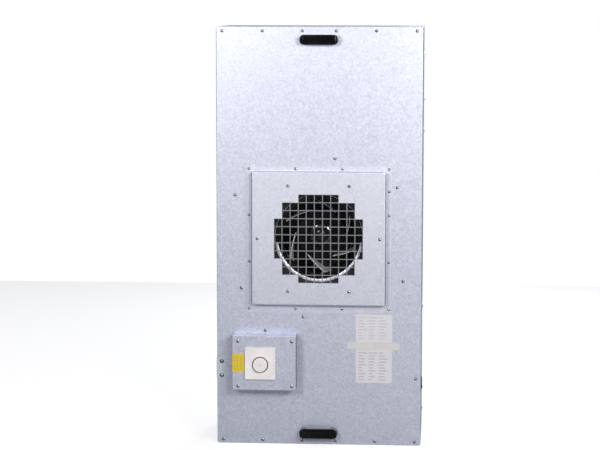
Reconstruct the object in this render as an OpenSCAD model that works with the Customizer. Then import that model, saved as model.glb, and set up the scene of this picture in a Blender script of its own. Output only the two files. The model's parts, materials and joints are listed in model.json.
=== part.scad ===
// Ceiling fan filter unit, standing on its short end.
// X runs across, Z up, and the air goes along +Y: intake side at the front, HEPA filter at the back.
// The origin is the middle of the end face that it stands on.
// A "depth" is measured along +Y from the intake plate's outer face; what stands proud of it is negative.

/* [Housing] */
// Width across the short side
housing_w = 575; // [560:1:640]
// Height as it stands on its short end
housing_h = 1175; // [1120:5:1260]
// Depth of the sheet-metal housing, without the filter
housing_d = 250; // [220:5:320]
// Thickness of the galvanised sheet
sheet_t = 1.2; // [0.8:0.1:1.6]
// Width of the folded flanges that take the screws and the filter
flange_w = 24; // [20:1:30]
// Outer radius of the folds in the housing and the control box
fold_r = 2.5; // [2:0.1:3]
// Corner cut off the plate where its folds meet
corner_cut = 4; // [2:0.5:6]

/* [Inlet pan and grille] */
// Side of the square raised pan
pan_w = 375; // [350:1:385]
// How far the pan stands proud of the intake plate
pan_rise = 25; // [18:1:40]
// Radius of the pan's corners
pan_corner_r = 8; // [6:0.5:14]
// Outer radius of the pan's pressed edge
pan_bend_r = 4; // [3:0.5:5]
// Flange beside the pan, left and right
pan_flange_side = 15; // [12:1:20]
// Flange above the pan
pan_flange_top = 13; // [11:1:20]
// Flange below the pan
pan_flange_bottom = 25; // [12:1:30]
// Side of a square grille cell
cell_w = 20; // [16:0.5:21]
// Width of a bar between two cells
bar_w = 2.6; // [1.5:0.1:3]
// Cells whose centres lie within this radius are open
grille_reach = 129; // [110:1:132]

/* [Fan] */
// Radius at the outer lip of the inlet ring
ring_lip_r = 122.5; // [118:0.5:128]
// Radius of the inlet ring's throat
throat_r = 104; // [98:0.5:108]
// Depth at which the inlet ring ends
ring_depth = 48; // [42:1:56]
// Width of the inlet ring's flange behind the plate
ring_flange = 22; // [16:1:28]
// Running gap between the inlet ring and the impeller's eye
eye_gap = 3; // [2:0.5:5]
// How far the impeller's eye reaches over the inlet ring
eye_overlap = 6; // [3:1:8]
// Outer radius of the impeller
impeller_r = 177; // [165:1:185]
// Depth of the face that the blades stand on
back_plate_depth = 150; // [138:1:160]
// Thickness of the impeller's sheet parts
impeller_t = 2; // [1.5:0.1:3]
// Number of blades
blade_count = 6; // [5:1:9]
// Radius at which the blades begin
blade_inner_r = 72; // [70:0.5:80]
// Blade angle from the tangent at the inner radius
blade_in_deg = 18; // [14:1:24]
// Blade angle from the tangent at the outer radius
blade_out_deg = 38; // [30:1:45]
// Turn of the whole impeller at rest
blade_start_deg = 58; // [0:1:60]

/* [Motor] */
// Radius of the rotor can
rotor_r = 68; // [60:0.5:69]
// Depth of the rotor can's front face
rotor_front_depth = 106; // [90:1:112]
// Wall of the rotor can
rotor_wall = 4; // [3:0.5:6]
// Radius of the cap on the rotor
rotor_cap_r = 32; // [24:1:40]
// Radius of the motor shaft
shaft_r = 6; // [5:0.5:8]
// Outer radius of a bearing
bearing_r = 16; // [13:0.5:19]
// Width of a bearing
bearing_w = 10; // [8:1:12]
// Radius of the posts that carry the motor
post_r = 9; // [7:0.5:12]
// Thickness of the plate that the motor sits on
spider_t = 3; // [2:0.5:5]

/* [Control box] */
// Width of the control box
box_w = 180; // [160:1:200]
// Height of the control box
box_h = 156; // [140:1:180]
// How far the control box stands proud of the plate
box_rise = 50; // [44:1:70]
// Gap from the control box to the housing's left edge
box_edge_gap = 47; // [34:1:56]
// Gap from the control box to the pan's flange above it
box_pan_gap = 57; // [40:1:90]
// Depth of the cover's folded rim
cover_rim = 20; // [12:1:30]
// Width of the wall plate
dial_plate_w = 85; // [80:1:95]
// Height of the wall plate
dial_plate_h = 90; // [84:1:100]
// Thickness of the wall plate
dial_plate_t = 7; // [5:0.5:9]
// Radius of the speed knob
knob_r = 20; // [16:0.5:24]
// Height of the speed knob
knob_h = 9; // [7:0.5:14]
// Radius of the cable hole in the grommet
cable_r = 5; // [3:0.5:7]

/* [Handles] */
// Length of a handle
handle_l = 110; // [96:1:140]
// Height of a handle across its grip
handle_w = 28; // [22:1:34]
// How far a handle stands proud of the plate
handle_rise = 32; // [28:1:45]
// Thickness of the grip
grip_t = 12; // [9:0.5:14]
// Width of a foot
foot_w = 21; // [16:1:26]
// Handle centre in from the short edge
handle_inset = 35; // [32:1:50]

/* [HEPA filter] */
// Depth of the filter frame
filter_frame_d = 66; // [50:1:90]
// Thickness of the filter gasket
gasket_t = 4; // [3:0.5:8]
// Width of a frame rail
rail_w = 18; // [14:1:24]
// Wall of a frame rail
rail_wall = 1.5; // [1.2:0.1:2.5]
// Pitch of the pleats
pleat_pitch = 12; // [9:1:20]
// Depth of the pleated pack
pack_d = 58; // [40:1:60]
// Pitch of the outlet guard's openings
guard_pitch = 60; // [50:5:120]
// Width of the outlet guard's bars
guard_bar = 4; // [3:0.5:8]

/* [Fasteners] */
// Head radius of a sheet screw
screw_head_r = 4.5; // [3.5:0.1:5]
// Head height of a sheet screw
screw_head_h = 2.6; // [2:0.1:3.5]
// Shank radius of a sheet screw
screw_r = 2; // [1.5:0.1:2.4]
// Radial room round a screw or rivet in its hole
hole_gap = 0.2; // [0.1:0.05:0.4]
// Head radius of a blind rivet
rivet_head_r = 4; // [3:0.1:4.5]
// Head height of a blind rivet
rivet_head_h = 1.6; // [1:0.1:2]

/* [Labels] */
// Thickness of the papers, sticker and tape
paper_t = 0.3; // [0.2:0.05:0.5]
// Width of the papers
paper_w = 102; // [80:1:120]
// Height of the upper paper
upper_paper_h = 80; // [60:1:90]
// Height of the lower paper
lower_paper_h = 95; // [60:1:110]
// Length of the tape
tape_l = 148; // [110:1:170]
// Width of the tape
tape_w = 20; // [12:1:26]
// Gap from the papers to the housing's right edge
paper_edge_gap = 81.5; // [60:0.5:100]
// Gap from the upper paper to the pan's flange above it
paper_pan_gap = 2; // [1:0.5:12]

/* [Hidden] */

$fn = 64;
running = 0.05;
press = 0.02;
soft_gap = 0.3;

total_d = housing_d + gasket_t + filter_frame_d;
front_y = -total_d / 2;
fan_up = housing_h / 2;
inner_w = housing_w - 2 * sheet_t;

// Grille and pan
cell_pitch = cell_w + bar_w;
cell_span = floor(grille_reach / cell_pitch);
pan_face_depth = -pan_rise;
cover_corner_r = 4;
pan_low = fan_up - pan_w / 2 - pan_flange_bottom;
pan_high = fan_up + pan_w / 2 + pan_flange_top;
pan_flange_w = pan_w + 2 * pan_flange_side;

// Fan
bell_r = ring_lip_r - throat_r;
ring_t = sheet_t;
eye_r = throat_r + ring_t + eye_gap;
eye_depth = ring_depth - eye_overlap;
shroud_bend_r = 30;
shroud_bend_deg = 72;
shroud_bend_depth = ring_depth + 2;
blade_nose_depth = rotor_front_depth + 2;
blade_t = impeller_t;
blade_arc_r = (pow(impeller_r, 2) - pow(blade_inner_r, 2))
    / (2 * (impeller_r * cos(blade_out_deg) - blade_inner_r * cos(blade_in_deg)));
blade_arc_x = blade_inner_r - blade_arc_r * cos(blade_in_deg);
blade_arc_y = blade_arc_r * sin(blade_in_deg);

// Motor
rim_depth = back_plate_depth + impeller_t;
rim_t = 3;
rim_r = rotor_r + 12;
boss_r = shaft_r + 8;
boss_l = 8;
shaft_depth = rotor_front_depth + rotor_wall;
core_depth = shaft_depth + boss_l + 2;
spider_depth = rim_depth + rim_t + 8;
stator_flange_t = 4;
stator_flange_r = 62;
motor_bolt_r = 50;
spider_hub_r = 78;
spider_arm_w = 46;
// Three posts, out from the fan's axis beyond the pan; three more stand opposite
post_above = 36;
post_across = 44.5;
post_beside = 30.5;
post_rise = 143;
post_low_beside = 48;
post_drop = 120;
post_places = [[post_across, pan_w / 2 + post_above], [pan_w / 2 + post_beside, post_rise],
               [pan_w / 2 + post_low_beside, -post_drop]];
post_spots = [for (place = post_places, side = [1, -1]) [side * place[0], fan_up + side * place[1]]];
post_screw_l = 14;
motor_bolt_spots = [for (turn = [45:90:315])
    [motor_bolt_r * cos(turn), fan_up + motor_bolt_r * sin(turn)]];

// Control box
box_x = box_edge_gap + (box_w - housing_w) / 2;
box_up = pan_low - box_pan_gap - box_h / 2;
cover_gap = 0.2;
tray_w = box_w - 2 * (sheet_t + cover_gap);
tray_h = box_h - 2 * (sheet_t + cover_gap);
tray_front = -(box_rise - sheet_t);
tray_lip = 22;
cable_depth = -(box_rise - cover_rim) / 2;
grommet_wall = 4;
grommet_lip = 2;
tab_h = 13;
dial_x = box_x - 10;
dial_up = box_up - 1;
dial_back = -box_rise;
dial_front = dial_back - dial_plate_t;
knob_up = dial_up - 3;
knob_recess = 1.2;
knob_back = dial_front + knob_recess - 0.4;
spindle_r = 3;
bushing_r = 5;
regulator_w = 52;
regulator_d = 28;
regulator_back = dial_back + sheet_t + regulator_d;
// Cover screws, in from the cover's own edges
cover_screw_left = 16.5;
cover_screw_right = 12;
cover_screw_top = 17;
cover_screw_bottom = 12;
cover_screw_spots = [for (x = [cover_screw_left - box_w / 2, box_w / 2 - cover_screw_right],
                          up = [cover_screw_bottom - box_h / 2, box_h / 2 - cover_screw_top])
    [box_x + x, box_up + up]];
tab_spots = [[box_x, box_up + box_h / 2 + tab_h / 2]];
terminal_w = 40;
terminal_d = 16;
terminal_h = 22;
terminal_pitch = 10;
capacitor_w = 46;
capacitor_d = 22;
capacitor_h = 32;
lug_t = 1;
lug_w = 6;
lug_h = 8;
part_margin = 10;
terminal_x = box_x + tray_w / 2 - part_margin - terminal_w;

// Screws along the two short edges, as shares of the outermost one
edge_screw_shares = [-1, -0.585, -0.175, 0.175, 0.585, 1];
edge_screw_out = housing_w / 2 - 17;
edge_screw_in = 11;
edge_screw_x = [for (share = edge_screw_shares) share * edge_screw_out];
edge_screw_spots = [for (x = edge_screw_x, up = [edge_screw_in, housing_h - edge_screw_in]) [x, up]];
screw_l = 9;

// Pan rivets
pan_rivet_x = pan_w / 2 + pan_flange_side / 2 + 1;
pan_rivet_rows = [pan_low + pan_flange_bottom / 2, pan_high - pan_flange_top / 2];
pan_rivet_cols = [-pan_rivet_x, -pan_rivet_x / 3, pan_rivet_x / 3, pan_rivet_x];
pan_rivet_sides = [-pan_w * 0.18, pan_w * 0.17];
pan_rivet_spots = concat([for (x = pan_rivet_cols, up = pan_rivet_rows) [x, up]],
                         [for (x = [-pan_rivet_x, pan_rivet_x], rise = pan_rivet_sides) [x, fan_up + rise]],
                         [[pan_rivet_x, fan_up + pan_w * 0.35]]);
rivet_r = 1.6;
rivet_l = 5;
pan_screw_ring_r = pan_w / 2 - 16.5;
pan_screw_spots = [for (turn = [0:60:300])
    [pan_screw_ring_r * cos(turn), fan_up + pan_screw_ring_r * sin(turn)]];
ring_rivet_r = ring_lip_r + ring_flange / 2;
ring_rivet_spots = [for (turn = [0:90:270]) [ring_rivet_r * cos(turn), fan_up + ring_rivet_r * sin(turn)]];

// Strap and earth screw near the two long edges
strap_up = 215;
strap_pitch = 40;
strap_w = 16;
strap_t = 1.5;
strap_head_r = 6;
strap_head_h = 3.5;
strap_margin = 9;
strap_back = 26;
strap_screw_spots = [for (up = [-1, 1])
    [strap_w - strap_head_r / 2 - housing_w / 2, strap_up + up * strap_pitch / 2]];
earth_spots = [[housing_w / 2 - 15, 192]];

// Blanking plug in the right side
plug_up = 175;
plug_depth = 34;
plug_w = 24;
plug_h = 32;
plug_t = 3;
plug_spigot_r = 9;
plug_spigot_l = 5;

// Filter
frame_depth = housing_d + gasket_t;
media_t = 2;
guard_t = 1.5;
guard_depth = frame_depth + filter_frame_d - rail_wall - guard_t;
pack_depth = guard_depth - soft_gap - pack_d;
pack_w = housing_w - 2 * (rail_wall + soft_gap);
pack_h = housing_h - 2 * (rail_wall + soft_gap);
clip_ups = [0.049, 0.102, 0.306, 0.742, 0.82, 0.93] * housing_h;
clip_w = 16;
clip_t = 1.2;
clip_reach = 16;
clip_dome_r = 6;

// Papers
paper_x = housing_w / 2 - paper_edge_gap - paper_w / 2;
tape_up = pan_low - paper_pan_gap - upper_paper_h - tape_w / 2;
sticker_w = 34;
sticker_h = 52;

// ---- Helpers -------------------------------------------------------------------------------------

// A flat drawing in X and Z, as seen from the front, made solid between two depths.
module layer(near, far) {
    translate([0, front_y + far, 0]) rotate([90, 0, 0]) linear_extrude(far - near) children();
}

// A profile of radius and depth, turned about a line along Y.
module turned(x, up, angle = 360) {
    translate([x, front_y, up]) rotate([-90, 0, 0]) rotate_extrude(angle = angle) children();
}

// A ring or disc of the given radii, between two depths.
module disc(x, up, near, far, outer_r, inner_r = 0) {
    turned(x, up) translate([inner_r, near]) square([outer_r - inner_r, far - near]);
}

module round_rect(w, h, r) {
    square([w - 2 * r, h], center = true);
    square([w, h - 2 * r], center = true);
    for (x = [-1, 1], y = [-1, 1]) translate([x * (w / 2 - r), y * (h / 2 - r)]) circle(r);
}

// A domed head and its shank, pointing into the part from the face that it sits on.
module fastener(x, up, seat, head_r, head_h, shank_r, shank_l) {
    dome_r = (pow(head_r, 2) + pow(head_h, 2)) / (2 * head_h);
    turned(x, up) {
        intersection() {
            translate([0, seat - head_h + dome_r]) circle(dome_r);
            translate([0, seat - head_h]) square([head_r, head_h]);
        }
        translate([0, seat]) square([shank_r, shank_l]);
    }
}

// Round holes at a list of places, cut between two depths.
module drill(spots, near, far, r)
    for (spot = spots) translate([spot[0], front_y + near, spot[1]]) rotate([-90, 0, 0])
        cylinder(h = far - near, r = r);

module screw_holes(spots, near, far) drill(spots, near, far, screw_r + hole_gap);

module rivet_holes(spots, near, far) drill(spots, near, far, rivet_r + hole_gap);

// One sheet screw or rivet at each place.
module sheet_screws(spots, seat = 0)
    for (spot = spots) fastener(spot[0], spot[1], seat, screw_head_r, screw_head_h, screw_r, screw_l);

module rivets(spots, seat)
    for (spot = spots) fastener(spot[0], spot[1], seat, rivet_head_r, rivet_head_h, rivet_r, rivet_l);

// A screw that goes in from the back of the plate it holds.
module back_screws(spots, seat, length)
    for (spot = spots) translate([0, 2 * (front_y + seat), 0]) mirror([0, 1, 0])
        fastener(spot[0], spot[1], seat, screw_head_r, screw_head_h, screw_r, length);

// Section of a lid's edge in reach and depth: flat face, rolled edge and rim.
module rim_section(corner_r, roll_r, rise) {
    square([corner_r - roll_r, sheet_t]);
    translate([corner_r - roll_r, roll_r]) intersection() {
        difference() {
            circle(roll_r);
            circle(roll_r - sheet_t);
        }
        translate([0, -roll_r]) square(roll_r);
    }
    translate([corner_r - sheet_t, roll_r]) square([sheet_t, rise - roll_r]);
}

// The rolled edge and rim all round a lid, its centre at the origin and its face at the given depth.
module lid_rim(w, h, corner_r, roll_r, rise, face) {
    for (side = [0, 1]) mirror([side, 0, 0])
        translate([w / 2 - corner_r, front_y + face, corner_r - h / 2]) linear_extrude(h - 2 * corner_r)
            rim_section(corner_r, roll_r, rise);
    for (side = [0, 1]) mirror([0, 0, side]) rotate([0, -90, 0])
        translate([h / 2 - corner_r, front_y + face, corner_r - w / 2]) linear_extrude(w - 2 * corner_r)
            rim_section(corner_r, roll_r, rise);
    for (x = [0, 1], z = [0, 1]) mirror([x, 0, 0]) mirror([0, 0, z])
        translate([w / 2 - corner_r, front_y + face, h / 2 - corner_r]) rotate([-90, 0, 0]) mirror([0, 1, 0])
            rotate_extrude(angle = 90) rim_section(corner_r, roll_r, rise);
}

// ---- Housing ----------------------------------------------------------------------------------------

// Plate, two sides and two back flanges as one folded section, seen from above.
module shell_section() difference() {
    translate([0, housing_d / 2]) round_rect(housing_w, housing_d, fold_r);
    translate([0, housing_d / 2]) round_rect(inner_w, housing_d - 2 * sheet_t, fold_r - sheet_t);
    translate([0, housing_d]) square([housing_w - 2 * flange_w, 4 * sheet_t], center = true);
}

// What is cut off one end of the fold: the back flanges' ends and the plate's two corners.
module shell_end_cut() {
    translate([-housing_w / 2 - 1, front_y + housing_d - fold_r, -1])
        cube([housing_w + 2, fold_r + 1, flange_w + 2]);
    for (side = [0, 1]) mirror([side, 0, 0]) layer(-1, flange_w)
        polygon([[-housing_w / 2 - 1, -1], [corner_cut - housing_w / 2, -1], [corner_cut - housing_w / 2, 0],
                 [-housing_w / 2, corner_cut], [-housing_w / 2 - 1, corner_cut]]);
}

module housing_shell() color("silver") difference() {
    translate([0, front_y, 0]) linear_extrude(housing_h) shell_section();
    shell_end_cut();
    translate([0, 0, housing_h]) mirror([0, 0, 1]) shell_end_cut();
    drill([[0, fan_up]], -1, sheet_t + 1, ring_lip_r + hole_gap);
    screw_holes(concat(edge_screw_spots, post_spots, strap_screw_spots, earth_spots, tab_spots),
                -1, sheet_t + 1);
    rivet_holes(concat(pan_rivet_spots, ring_rivet_spots), -1, sheet_t + 1);
    translate([inner_w / 2 - 1, front_y + plug_depth, plug_up]) rotate([0, 90, 0])
        cylinder(h = sheet_t + 2, r = plug_spigot_r + running);
}

// A folded channel that closes one short end: web, front and back flanges and two end tabs.
module end_wall() {
    wall_w = housing_w - 2 * fold_r - 0.4;
    wall_d = housing_d - sheet_t;
    difference() {
        union() {
            translate([-wall_w / 2, front_y + sheet_t, 0]) rotate([90, 0, 90]) linear_extrude(wall_w)
                difference() {
                    translate([wall_d / 2, flange_w]) round_rect(wall_d, 2 * flange_w, fold_r);
                    translate([wall_d / 2, flange_w])
                        round_rect(wall_d - 2 * sheet_t, 2 * (flange_w - sheet_t), fold_r - sheet_t);
                    translate([-1, flange_w]) square([wall_d + 2, flange_w + 1]);
                }
            for (side = [0, 1]) mirror([side, 0, 0])
                translate([-wall_w / 2, front_y + flange_w, sheet_t / 2])
                    cube([sheet_t, housing_d - 2 * flange_w, flange_w - sheet_t / 2]);
        }
        screw_holes(edge_screw_spots, sheet_t / 2, 3 * sheet_t);
    }
}

module end_wall_bottom() color("silver") end_wall();

module end_wall_top() color("silver") translate([0, 0, housing_h]) mirror([0, 0, 1]) end_wall();

module plate_screws() color("gainsboro") sheet_screws(edge_screw_spots);

module corner_strap() color("silver") difference() {
    union() {
        translate([-housing_w / 2 - strap_t, front_y - strap_t, strap_up - strap_pitch / 2 - strap_margin])
            cube([strap_w + strap_t, strap_t, strap_pitch + 2 * strap_margin]);
        translate([-housing_w / 2 - strap_t, front_y - strap_t, strap_up - strap_pitch / 2 - strap_margin])
            cube([strap_t, strap_back, strap_pitch + 2 * strap_margin]);
    }
    screw_holes(strap_screw_spots, -strap_t - 1, 1);
}

module strap_screws() color("gainsboro")
    for (spot = strap_screw_spots)
        fastener(spot[0], spot[1], -strap_t, strap_head_r, strap_head_h, screw_r, screw_l);

module earth_screw() color("gainsboro") sheet_screws(earth_spots);

// A moulded plug in the spare cable hole of the right side.
module side_plug() color("black") translate([housing_w / 2, front_y + plug_depth, plug_up]) {
    rotate([0, 90, 0]) linear_extrude(plug_t) round_rect(plug_h, plug_w, 4);
    translate([-plug_spigot_l, 0, 0]) rotate([0, 90, 0]) cylinder(h = plug_spigot_l, r = plug_spigot_r);
}

// ---- Inlet pan with its stepped grille -------------------------------------------------------------

module pan_flange_sheet()
    translate([0, (pan_low + pan_high) / 2]) square([pan_flange_w, pan_high - pan_low], center = true);

module grille_cells() {
    for (i = [-cell_span:cell_span], j = [-cell_span:cell_span])
        if (norm([i, j]) * cell_pitch <= grille_reach)
            translate([i * cell_pitch, fan_up + j * cell_pitch]) square(cell_w, center = true);
}

module inlet_pan() color("silver") difference() {
    union() {
        layer(pan_face_depth, pan_face_depth + sheet_t) difference() {
            translate([0, fan_up]) square(pan_w - 2 * pan_corner_r, center = true);
            grille_cells();
        }
        translate([0, 0, fan_up]) lid_rim(pan_w, pan_w, pan_corner_r, pan_bend_r, pan_rise, pan_face_depth);
        layer(-sheet_t, 0) difference() {
            pan_flange_sheet();
            translate([0, fan_up]) round_rect(pan_w - 2 * sheet_t, pan_w - 2 * sheet_t, pan_corner_r - sheet_t);
        }
    }
    rivet_holes(pan_rivet_spots, -2 * sheet_t, sheet_t);
    screw_holes(pan_screw_spots, pan_face_depth - 1, pan_face_depth + sheet_t + 1);
}

module pan_rivets() color("gainsboro") rivets(pan_rivet_spots, -sheet_t);

module pan_screws() color("gainsboro") sheet_screws(pan_screw_spots, pan_face_depth);

// ---- Inlet ring ------------------------------------------------------------------------------------

module inlet_ring() color("silver") difference() {
    turned(0, fan_up) {
        translate([ring_lip_r, sheet_t]) square([ring_flange, ring_t]);
        translate([ring_lip_r, sheet_t + bell_r]) intersection() {
            difference() {
                circle(bell_r);
                circle(bell_r - ring_t);
            }
            translate([-bell_r, -bell_r]) square(bell_r);
        }
        translate([throat_r, sheet_t + bell_r]) square([ring_t, ring_depth - sheet_t - bell_r]);
    }
    rivet_holes(ring_rivet_spots, 0, 3 * sheet_t);
}

module ring_rivets() color("gainsboro") rivets(ring_rivet_spots, 0);

// ---- Impeller --------------------------------------------------------------------------------------

// The shroud's line in radius and depth, moved off the flow side by the given thickness.
function shroud_arc(off) = [for (turn = [0:12:shroud_bend_deg])
    [eye_r + shroud_bend_r - (shroud_bend_r - off) * cos(turn),
     shroud_bend_depth + (shroud_bend_r - off) * sin(turn)]];

function shroud_rim_depth(off) =
    shroud_bend_depth + (shroud_bend_r - off) * sin(shroud_bend_deg)
    + (impeller_r - eye_r - shroud_bend_r + (shroud_bend_r - off) * cos(shroud_bend_deg))
    / tan(shroud_bend_deg);

function shroud_line(off) = concat([[eye_r + off, eye_depth]], shroud_arc(off),
                                   [[impeller_r, shroud_rim_depth(off)]]);

function backwards(points) = [for (i = [len(points) - 1:-1:0]) points[i]];

module impeller_shroud() color("dimgray")
    turned(0, fan_up) polygon(concat(shroud_line(0), backwards(shroud_line(impeller_t))));

module impeller_back_plate() color("dimgray")
    disc(0, fan_up, back_plate_depth, rim_depth, impeller_r, rotor_r + hole_gap);

// One blade's line: an arc that leaves the inner and outer radius at the two blade angles.
module blade_line() intersection() {
    translate([blade_arc_x, blade_arc_y]) difference() {
        circle(blade_arc_r + blade_t / 2);
        circle(blade_arc_r - blade_t / 2);
    }
    rotate(atan2(blade_arc_y, blade_arc_x) - 180) translate([-2 * impeller_r, 0])
        square([4 * impeller_r, 2 * impeller_r]);
}

module blade_space()
    polygon(concat([[blade_inner_r, back_plate_depth], [blade_inner_r, blade_nose_depth]],
                   shroud_arc(0), [[impeller_r, shroud_rim_depth(0)], [impeller_r, back_plate_depth]]));

module impeller_blades() color("dimgray")
    for (i = [0:blade_count - 1]) intersection() {
        turned(0, fan_up) blade_space();
        layer(eye_depth, back_plate_depth) translate([0, fan_up])
            rotate(blade_start_deg + i * 360 / blade_count) blade_line();
    }

// ---- Motor -----------------------------------------------------------------------------------------

module motor_rotor() color("gray") turned(0, fan_up) {
    translate([0, rotor_front_depth]) square([rotor_r, rotor_wall]);
    translate([rotor_r - rotor_wall, rotor_front_depth])
        square([rotor_wall, rim_depth + rim_t - rotor_front_depth]);
    translate([rotor_r - rotor_wall, rim_depth]) square([rim_r - rotor_r + rotor_wall, rim_t]);
    translate([shaft_r + press, shaft_depth]) square([boss_r - shaft_r - press, boss_l]);
}

module rotor_cap() color("dimgray") turned(0, fan_up) difference() {
    translate([0, rotor_front_depth - 6]) square([rotor_cap_r, 6]);
    translate([rotor_cap_r - 9, rotor_front_depth - 7]) square([5, 4]);
}

module motor_shaft() color("lightgray")
    disc(0, fan_up, shaft_depth, spider_depth - 2, shaft_r);

module motor_bearings() color("lightgray") {
    disc(0, fan_up, core_depth, core_depth + bearing_w, bearing_r - press, shaft_r + running);
    disc(0, fan_up, spider_depth - bearing_w - 1, spider_depth - 1, bearing_r - press, shaft_r + running);
}

module motor_stator() color("slategray") difference() {
    turned(0, fan_up) difference() {
        union() {
            translate([bearing_r - 3, core_depth])
                square([rotor_r - rotor_wall - 2.5 - bearing_r + 3, rim_depth - 2 - core_depth]);
            translate([bearing_r - 3, core_depth]) square([30, spider_depth - core_depth]);
            translate([bearing_r - 3, spider_depth - stator_flange_t])
                square([stator_flange_r - bearing_r + 3, stator_flange_t]);
        }
        translate([0, core_depth]) square([bearing_r, bearing_w]);
        translate([0, spider_depth - bearing_w - 1]) square([bearing_r, bearing_w + 1]);
    }
    screw_holes(motor_bolt_spots, spider_depth - stator_flange_t - 1, spider_depth + 1);
}

// Three arms cross at the hub, and their six ends sit on the posts.
module motor_spider() color("silver") difference() {
    layer(spider_depth, spider_depth + spider_t) translate([0, fan_up]) {
        circle(spider_hub_r);
        for (place = post_places) rotate(atan2(place[1], place[0])) {
            square([2 * norm(place), spider_arm_w], center = true);
            for (end = [-1, 1]) translate([end * norm(place), 0]) circle(spider_arm_w / 2);
        }
    }
    drill([[0, fan_up]], spider_depth - 1, spider_depth + spider_t + 1, bearing_r);
    screw_holes(concat(post_spots, motor_bolt_spots), spider_depth - 1, spider_depth + spider_t + 1);
}

module motor_screws() color("gainsboro")
    back_screws(motor_bolt_spots, spider_depth + spider_t, spider_t + stator_flange_t);

module fan_posts() color("silver") difference() {
    drill(post_spots, sheet_t, spider_depth, post_r);
    screw_holes(post_spots, 0, sheet_t + post_screw_l + 1);
    screw_holes(post_spots, spider_depth - post_screw_l - 1, spider_depth + 1);
}

module fan_post_screws() color("gainsboro") {
    for (spot = post_spots)
        fastener(spot[0], spot[1], 0, screw_head_r, screw_head_h, screw_r, post_screw_l);
    back_screws(post_spots, spider_depth + spider_t, post_screw_l);
}

// ---- Control box -----------------------------------------------------------------------------------

module control_box() color("silver") difference() {
    tray_corner_r = cover_corner_r - sheet_t - cover_gap;
    union() {
        translate([box_x, 0, box_up]) {
            layer(-sheet_t, 0) round_rect(tray_w, tray_h, tray_corner_r);
            lid_rim(tray_w, tray_h, tray_corner_r, fold_r, -tray_front, tray_front);
            layer(tray_front, tray_front + sheet_t) difference() {
                square([tray_w - 2 * tray_corner_r, tray_h - 2 * tray_corner_r], center = true);
                square([tray_w - 2 * tray_lip, tray_h - 2 * tray_lip], center = true);
            }
        }
        layer(-sheet_t, 0) translate([box_x, box_up + tray_h / 2 - sheet_t / 2 + tab_h / 2])
            square([tray_w - 2 * tray_corner_r, tab_h + sheet_t], center = true);
    }
    screw_holes(tab_spots, -2 * sheet_t, sheet_t);
    screw_holes(cover_screw_spots, tray_front - 1, tray_front + sheet_t + 1);
    translate([box_x, front_y + cable_depth, box_up - tray_h / 2 - 1])
        cylinder(h = sheet_t + 2, r = cable_r + grommet_wall);
}

module control_box_cover() color("silver") difference() {
    translate([box_x, 0, box_up]) {
        layer(-box_rise, tray_front)
            square([box_w - 2 * cover_corner_r, box_h - 2 * cover_corner_r], center = true);
        lid_rim(box_w, box_h, cover_corner_r, fold_r, cover_rim, -box_rise);
    }
    screw_holes(cover_screw_spots, -box_rise - 1, tray_front + 1);
    drill([[dial_x, knob_up]], -box_rise - 1, tray_front + 1, bushing_r + hole_gap);
}

module box_screws() color("gainsboro") {
    sheet_screws(cover_screw_spots, -box_rise);
    sheet_screws(tab_spots, -sheet_t);
}

module dial_plate() color("white") difference() {
    layer(dial_front, dial_back) translate([dial_x, dial_up]) round_rect(dial_plate_w, dial_plate_h, 2);
    layer(dial_front - 1, dial_front + 0.8) translate([dial_x, dial_up + 1]) difference() {
        square([dial_plate_w - 10, dial_plate_h - 12], center = true);
        square([dial_plate_w - 12, dial_plate_h - 14], center = true);
    }
    drill([[dial_x, knob_up]], dial_front - 1, dial_front + knob_recess, knob_r + 2);
    drill([[dial_x, knob_up]], dial_front - 1, dial_back + 1, bushing_r + hole_gap);
}

module speed_knob() color("white") difference() {
    turned(dial_x, knob_up) difference() {
        union() {
            translate([0, knob_back - knob_h]) square([knob_r - 2, knob_h]);
            translate([0, knob_back - knob_h + 2]) square([knob_r, knob_h - 2]);
            translate([knob_r - 2, knob_back - knob_h + 2]) circle(2);
        }
        translate([knob_r - 7, knob_back - knob_h - 1]) square([1.2, 1.8]);
        translate([0, knob_back - knob_h + 3]) square([spindle_r + press, knob_h]);
    }
    drill([[dial_x, knob_up]], knob_back - knob_h - 1, knob_back - knob_h + 0.8, 1.2);
}

module regulator_shaft() color("lightgray")
    disc(dial_x, knob_up, knob_back - knob_h + 3, tray_front + 14, spindle_r);

module speed_regulator() color("royalblue") difference() {
    union() {
        layer(tray_front, regulator_back) translate([dial_x, knob_up]) square(regulator_w, center = true);
        disc(dial_x, knob_up, dial_front + knob_recess + 0.2, tray_front, bushing_r);
    }
    drill([[dial_x, knob_up]], dial_front - 1, tray_front + 15, spindle_r + running);
}

module terminal_block() color("ivory") difference() {
    translate([terminal_x, front_y - sheet_t - terminal_d, box_up + 20])
        cube([terminal_w, terminal_d, terminal_h]);
    for (i = [0.5:3.5])
        drill([[terminal_x + i * terminal_pitch, box_up + 20 + terminal_h / 2]],
              -sheet_t - terminal_d - 1, -sheet_t - terminal_d / 2, 3);
}

module run_capacitor() color("gray") {
    translate([box_x + tray_w / 2 - part_margin - capacitor_w, front_y - sheet_t - capacitor_d,
               box_up - 20 - capacitor_h])
        cube([capacitor_w, capacitor_d, capacitor_h]);
    for (i = [0.25, 0.75])
        translate([box_x + tray_w / 2 - part_margin - i * capacitor_w,
                   front_y - sheet_t - (capacitor_d + lug_w) / 2, box_up - 20])
            cube([lug_t, lug_w, lug_h]);
}

// A rubber ring that grips the lower wall in its groove, with the cable's hole through it.
module cable_grommet() color("black")
    translate([box_x, front_y + cable_depth, box_up - tray_h / 2]) rotate_extrude() {
        translate([cable_r, -grommet_lip]) square([grommet_wall + 2, grommet_lip]);
        translate([cable_r, 0]) square([grommet_wall - soft_gap / 2, sheet_t]);
        translate([cable_r, sheet_t]) square([grommet_wall + 2, grommet_lip]);
    }

// ---- Handles ---------------------------------------------------------------------------------------

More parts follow.
